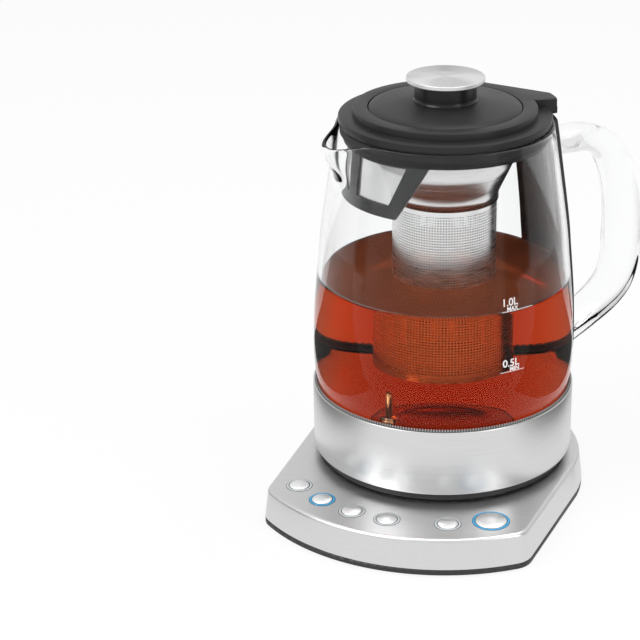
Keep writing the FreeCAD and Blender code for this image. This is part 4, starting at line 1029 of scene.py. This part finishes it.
class TEAMAKER_OT_infuser(Operator):
    """Makes the infuser with its perforated sieve, and its lid with the knob"""

    bl_idname = "teamaker.infuser"
    bl_label = "Infuser and knob"

    def execute(self, context):
        settings = context.scene.tea_maker_sizes
        copied("funnel_shell", "basket_funnel", bright_steel(), "basket", 40.0)
        copied("sieve_floor", "basket_floor", bright_steel(), "basket", 40.0)
        self.sieve(settings.hole_pitch)
        copied("disc_shell", "lid_disc", lid_plastic(), "infuser_lid")
        # The end corners lie on the axis, so their rounding's points are left out.
        steps = 5
        neck_radius, cap_radius = 0.0163, 0.0206
        under = knob_crown - 0.0023
        neck_top = under - 0.0003
        neck = rounded([(0.0, disc_crown, 0.0), (0.0172, disc_crown, 0.0004),
                        (neck_radius, disc_crown + 0.0012, 0.001),
                        (neck_radius, neck_top, 0.0003), (0.0, neck_top, 0.0)], steps)
        points, faces = fan_closed(*neck[steps:-steps].T)
        closed_piece("neck_shell", points, faces, neck_plastic(), "infuser_lid", "black_gloss",
                     ("knob_neck",))
        cap = rounded([(0.0, under, 0.0), (cap_radius, under, 0.0004),
                       (cap_radius, knob_crown, 0.0005), (0.0, knob_crown + 0.0002, 0.0)], steps)
        points, faces = fan_closed(*cap[steps:-steps].T)
        closed_piece("cap_shell", points, faces, spun_steel(), "infuser_lid", "steel_bright",
                     ("knob_cap",))
        finish_nodes(bright_steel(), "knob_screw")
        return {"FINISHED"}

    def sieve(self, pitch):
        """A tube of square holes: a grid of lines round and up, whose hole cells are left out.

        Lines come in pairs, one wire and one hole wide.  The top and bottom bands have no holes.
        """
        radius, bottom_band, top_band = 0.0279, 0.004, 0.0065
        count = int(round(2 * math.pi * radius / pitch))
        pair = np.array([0.0, 0.5])
        turn = (np.arange(count)[:, None] + pair).ravel() * 2 * math.pi / count
        low, high = sieve_foot + bottom_band, sieve_crown - top_band
        rows = int((high - low) / pitch)
        holes = low + (np.arange(rows)[:, None] + pair).ravel() * pitch
        level = np.concatenate([[sieve_foot], holes, [low + rows * pitch, sieve_crown]])
        faces = grid_faces(len(level), len(turn))
        row, column = np.divmod(np.arange(len(faces)), len(turn))
        keep = (row % 2 == 1) | (row < 1) | (row > 2 * rows) | (column % 2 == 0)
        piece("sieve_tube", round_axis(radius, turn, level[:, None]), faces[keep], sieve_steel(),
              "basket", "steel_sieve", ("basket_sieve",))


# Stage

def bare_tree(owner):
    """The emptied node tree of a material or a world."""
    owner.use_nodes = True
    owner.node_tree.nodes.clear()
    return owner.node_tree


def square(name, points):
    """A four-cornered sheet of the stage, with an empty material, and that material's nodes."""
    mesh = bpy.data.meshes.new(name)
    mesh.from_pydata(points, [], [[0, 1, 2, 3]])
    thing = placed(name, mesh)
    mesh.materials.append(bpy.data.materials.new(name))
    return thing, bare_tree(mesh.materials[0])


def card(name, centre, size, turn, tilt, seen):
    """A flat card beside the object that glossy surfaces mirror; it is not part of the object."""
    half = np.array(size) / 2
    flat = np.array([(-half[0], 0, -half[1]), (half[0], 0, -half[1]), (half[0], 0, half[1]),
                     (-half[0], 0, half[1])])
    matrix = np.array(Matrix.Rotation(turn, 3, "Z") @ Matrix.Rotation(tilt, 3, "X"))
    points = flat @ matrix.T + np.array(centre)
    thing, tree = square(name, points.tolist())
    glow = add(tree, "ShaderNodeEmission", i0=(0.10, 0.10, 0.10, 1))
    result = add(tree, "ShaderNodeOutputMaterial")
    tree.links.new(glow.outputs[0], result.inputs["Surface"])
    thing.visible_camera = False
    thing.visible_diffuse = False
    thing.visible_shadow = False
    thing.visible_transmission = seen


class TEAMAKER_OT_stage(Operator):
    """Sets the floor, the lights, the cards and the camera"""

    bl_idname = "teamaker.stage"
    bl_label = "Stage, lights and camera"

    def execute(self, context):
        self.floor()
        self.world()
        self.lamp("key", (-0.9, -1.1, 1.5), 1.0, 17.0)
        self.lamp("top", (0.25, 0.2, 1.7), 1.2, 11.0)
        self.lamp("right", (1.4, -0.5, 0.7), 0.7, 6.0)
        upright, lying = 0.0, math.radians(90)
        card("card_right", (0.62, -0.05, 0.25), (0.30, 0.9), math.radians(80), upright, True)
        card("card_left", (-0.52, -0.30, 0.25), (0.14, 0.9), math.radians(-60), upright, True)
        low_size = (0.44, 0.32)
        card("card_low_left", (-0.376, -0.053, 0.002), low_size, math.radians(188), lying, False)
        card("card_low_right", (0.335, 0.178, 0.002), low_size, math.radians(28), lying, False)
        self.camera()
        context.scene.view_settings.view_transform = "Standard"
        return {"FINISHED"}

    def floor(self):
        """A wide floor that looks white and keeps a soft shadow."""
        tree = square("floor", [(-9, -9, 0), (9, -9, 0), (9, 9, 0), (-9, 9, 0)])[1]
        matte = add(tree, "ShaderNodeBsdfDiffuse", i0=(0.9, 0.9, 0.9, 1))
        glow = add(tree, "ShaderNodeEmission", i0=(1, 1, 1, 1), i1=1.0)
        mix = add(tree, "ShaderNodeMixShader")
        share = add(tree, "ShaderNodeMath", operation="MULTIPLY", i1=0.88)
        tree.links.new(seen_rays(tree), share.inputs[0])
        tree.links.new(share.outputs[0], mix.inputs[0])
        tree.links.new(matte.outputs[0], mix.inputs[1])
        tree.links.new(glow.outputs[0], mix.inputs[2])
        result = add(tree, "ShaderNodeOutputMaterial")
        tree.links.new(mix.outputs[0], result.inputs["Surface"])

    def world(self):
        """White where it is seen, and a plain level of light otherwise."""
        world = bpy.data.worlds.new("Studio")
        bpy.context.scene.world = world
        tree = bare_tree(world)
        level = add(tree, "ShaderNodeMapRange", i1=0.0, i2=1.0, i3=0.55, i4=1.0)
        tree.links.new(seen_rays(tree), level.inputs[0])
        back = add(tree, "ShaderNodeBackground")
        tree.links.new(level.outputs[0], back.inputs["Strength"])
        result = add(tree, "ShaderNodeOutputWorld")
        tree.links.new(back.outputs[0], result.inputs["Surface"])

    def lamp(self, name, place, size, power):
        """A square soft light that looks at the kettle's middle."""
        light = bpy.data.lights.new(name, "AREA")
        light.size = size
        light.energy = power
        thing = placed(name, light)
        way = Vector(place) - Vector((0, 0, 0.1))
        thing.rotation_euler = way.to_track_quat("Z", "Y").to_euler()
        thing.location = place

    def camera(self):
        """The photograph's view: 18 degrees round, 23.5 degrees down, a slight roll."""
        lens = bpy.data.cameras.new("camera")
        # The picture's width, its centre of view and its focal length, all in pixels.
        width, centre, focal = 640.0, 443.42, 1965.5
        lens.sensor_width = 36.0
        lens.lens = focal * lens.sensor_width / width
        lens.shift_x = -(centre - width / 2) / width
        thing = placed("camera", lens)
        turn, down, roll = math.radians(18.0), math.radians(23.47), math.radians(0.5355)
        away, height = 0.9831, 0.5226
        place = Matrix.Translation((away * math.sin(turn), -away * math.cos(turn), height))
        thing.matrix_world = (place @ Matrix.Rotation(turn, 4, "Z")
                              @ Matrix.Rotation(math.radians(90) - down, 4, "X")
                              @ Matrix.Rotation(roll, 4, "Z"))
        bpy.context.scene.camera = thing


def seen_rays(tree):
    """1 for rays that come straight from the camera, a mirror or clear matter."""
    path = add(tree, "ShaderNodeLightPath")
    first = add(tree, "ShaderNodeMath", operation="MAXIMUM")
    second = add(tree, "ShaderNodeMath", operation="MAXIMUM")
    tree.links.new(path.outputs["Is Camera Ray"], first.inputs[0])
    tree.links.new(path.outputs["Is Glossy Ray"], first.inputs[1])
    tree.links.new(first.outputs[0], second.inputs[0])
    tree.links.new(path.outputs["Is Transmission Ray"], second.inputs[1])
    return second.outputs[0]


# Add-on

STEPS = ("stage", "base", "buttons", "kettle", "glass", "tea", "marks", "lid", "infuser")


class TEAMAKER_PT_panel(Panel):
    """Lists the pieces, sizes and colours"""

    bl_idname = "TEAMAKER_PT_panel"
    bl_label = "Tea Maker"
    bl_space_type = "VIEW_3D"
    bl_region_type = "UI"
    bl_category = "Tea Maker"

    def draw(self, context):
        for step in STEPS:
            self.layout.operator("teamaker." + step)
        for group in (context.scene.tea_maker_sizes, context.scene.tea_maker_colours):
            for key in group.__annotations__:
                self.layout.prop(group, key)


CLASSES = (TeaMakerSizes, TeaMakerColours, TEAMAKER_OT_stage, TEAMAKER_OT_base,
           TEAMAKER_OT_buttons, TEAMAKER_OT_kettle, TEAMAKER_OT_glass, TEAMAKER_OT_tea,
           TEAMAKER_OT_marks, TEAMAKER_OT_lid, TEAMAKER_OT_infuser, TEAMAKER_PT_panel)


def register():
    """Registers the classes and the scene's settings."""
    for kind in CLASSES:
        bpy.utils.register_class(kind)
    bpy.types.Scene.tea_maker_sizes = PointerProperty(type=TeaMakerSizes)
    bpy.types.Scene.tea_maker_colours = PointerProperty(type=TeaMakerColours)


def unregister():
    """Removes what register added."""
    del bpy.types.Scene.tea_maker_sizes
    del bpy.types.Scene.tea_maker_colours
    for kind in reversed(CLASSES):
        bpy.utils.unregister_class(kind)


def main():
    register()
    for step in STEPS:
        getattr(bpy.ops.teamaker, step)()


if __name__ == "__main__":
    main()
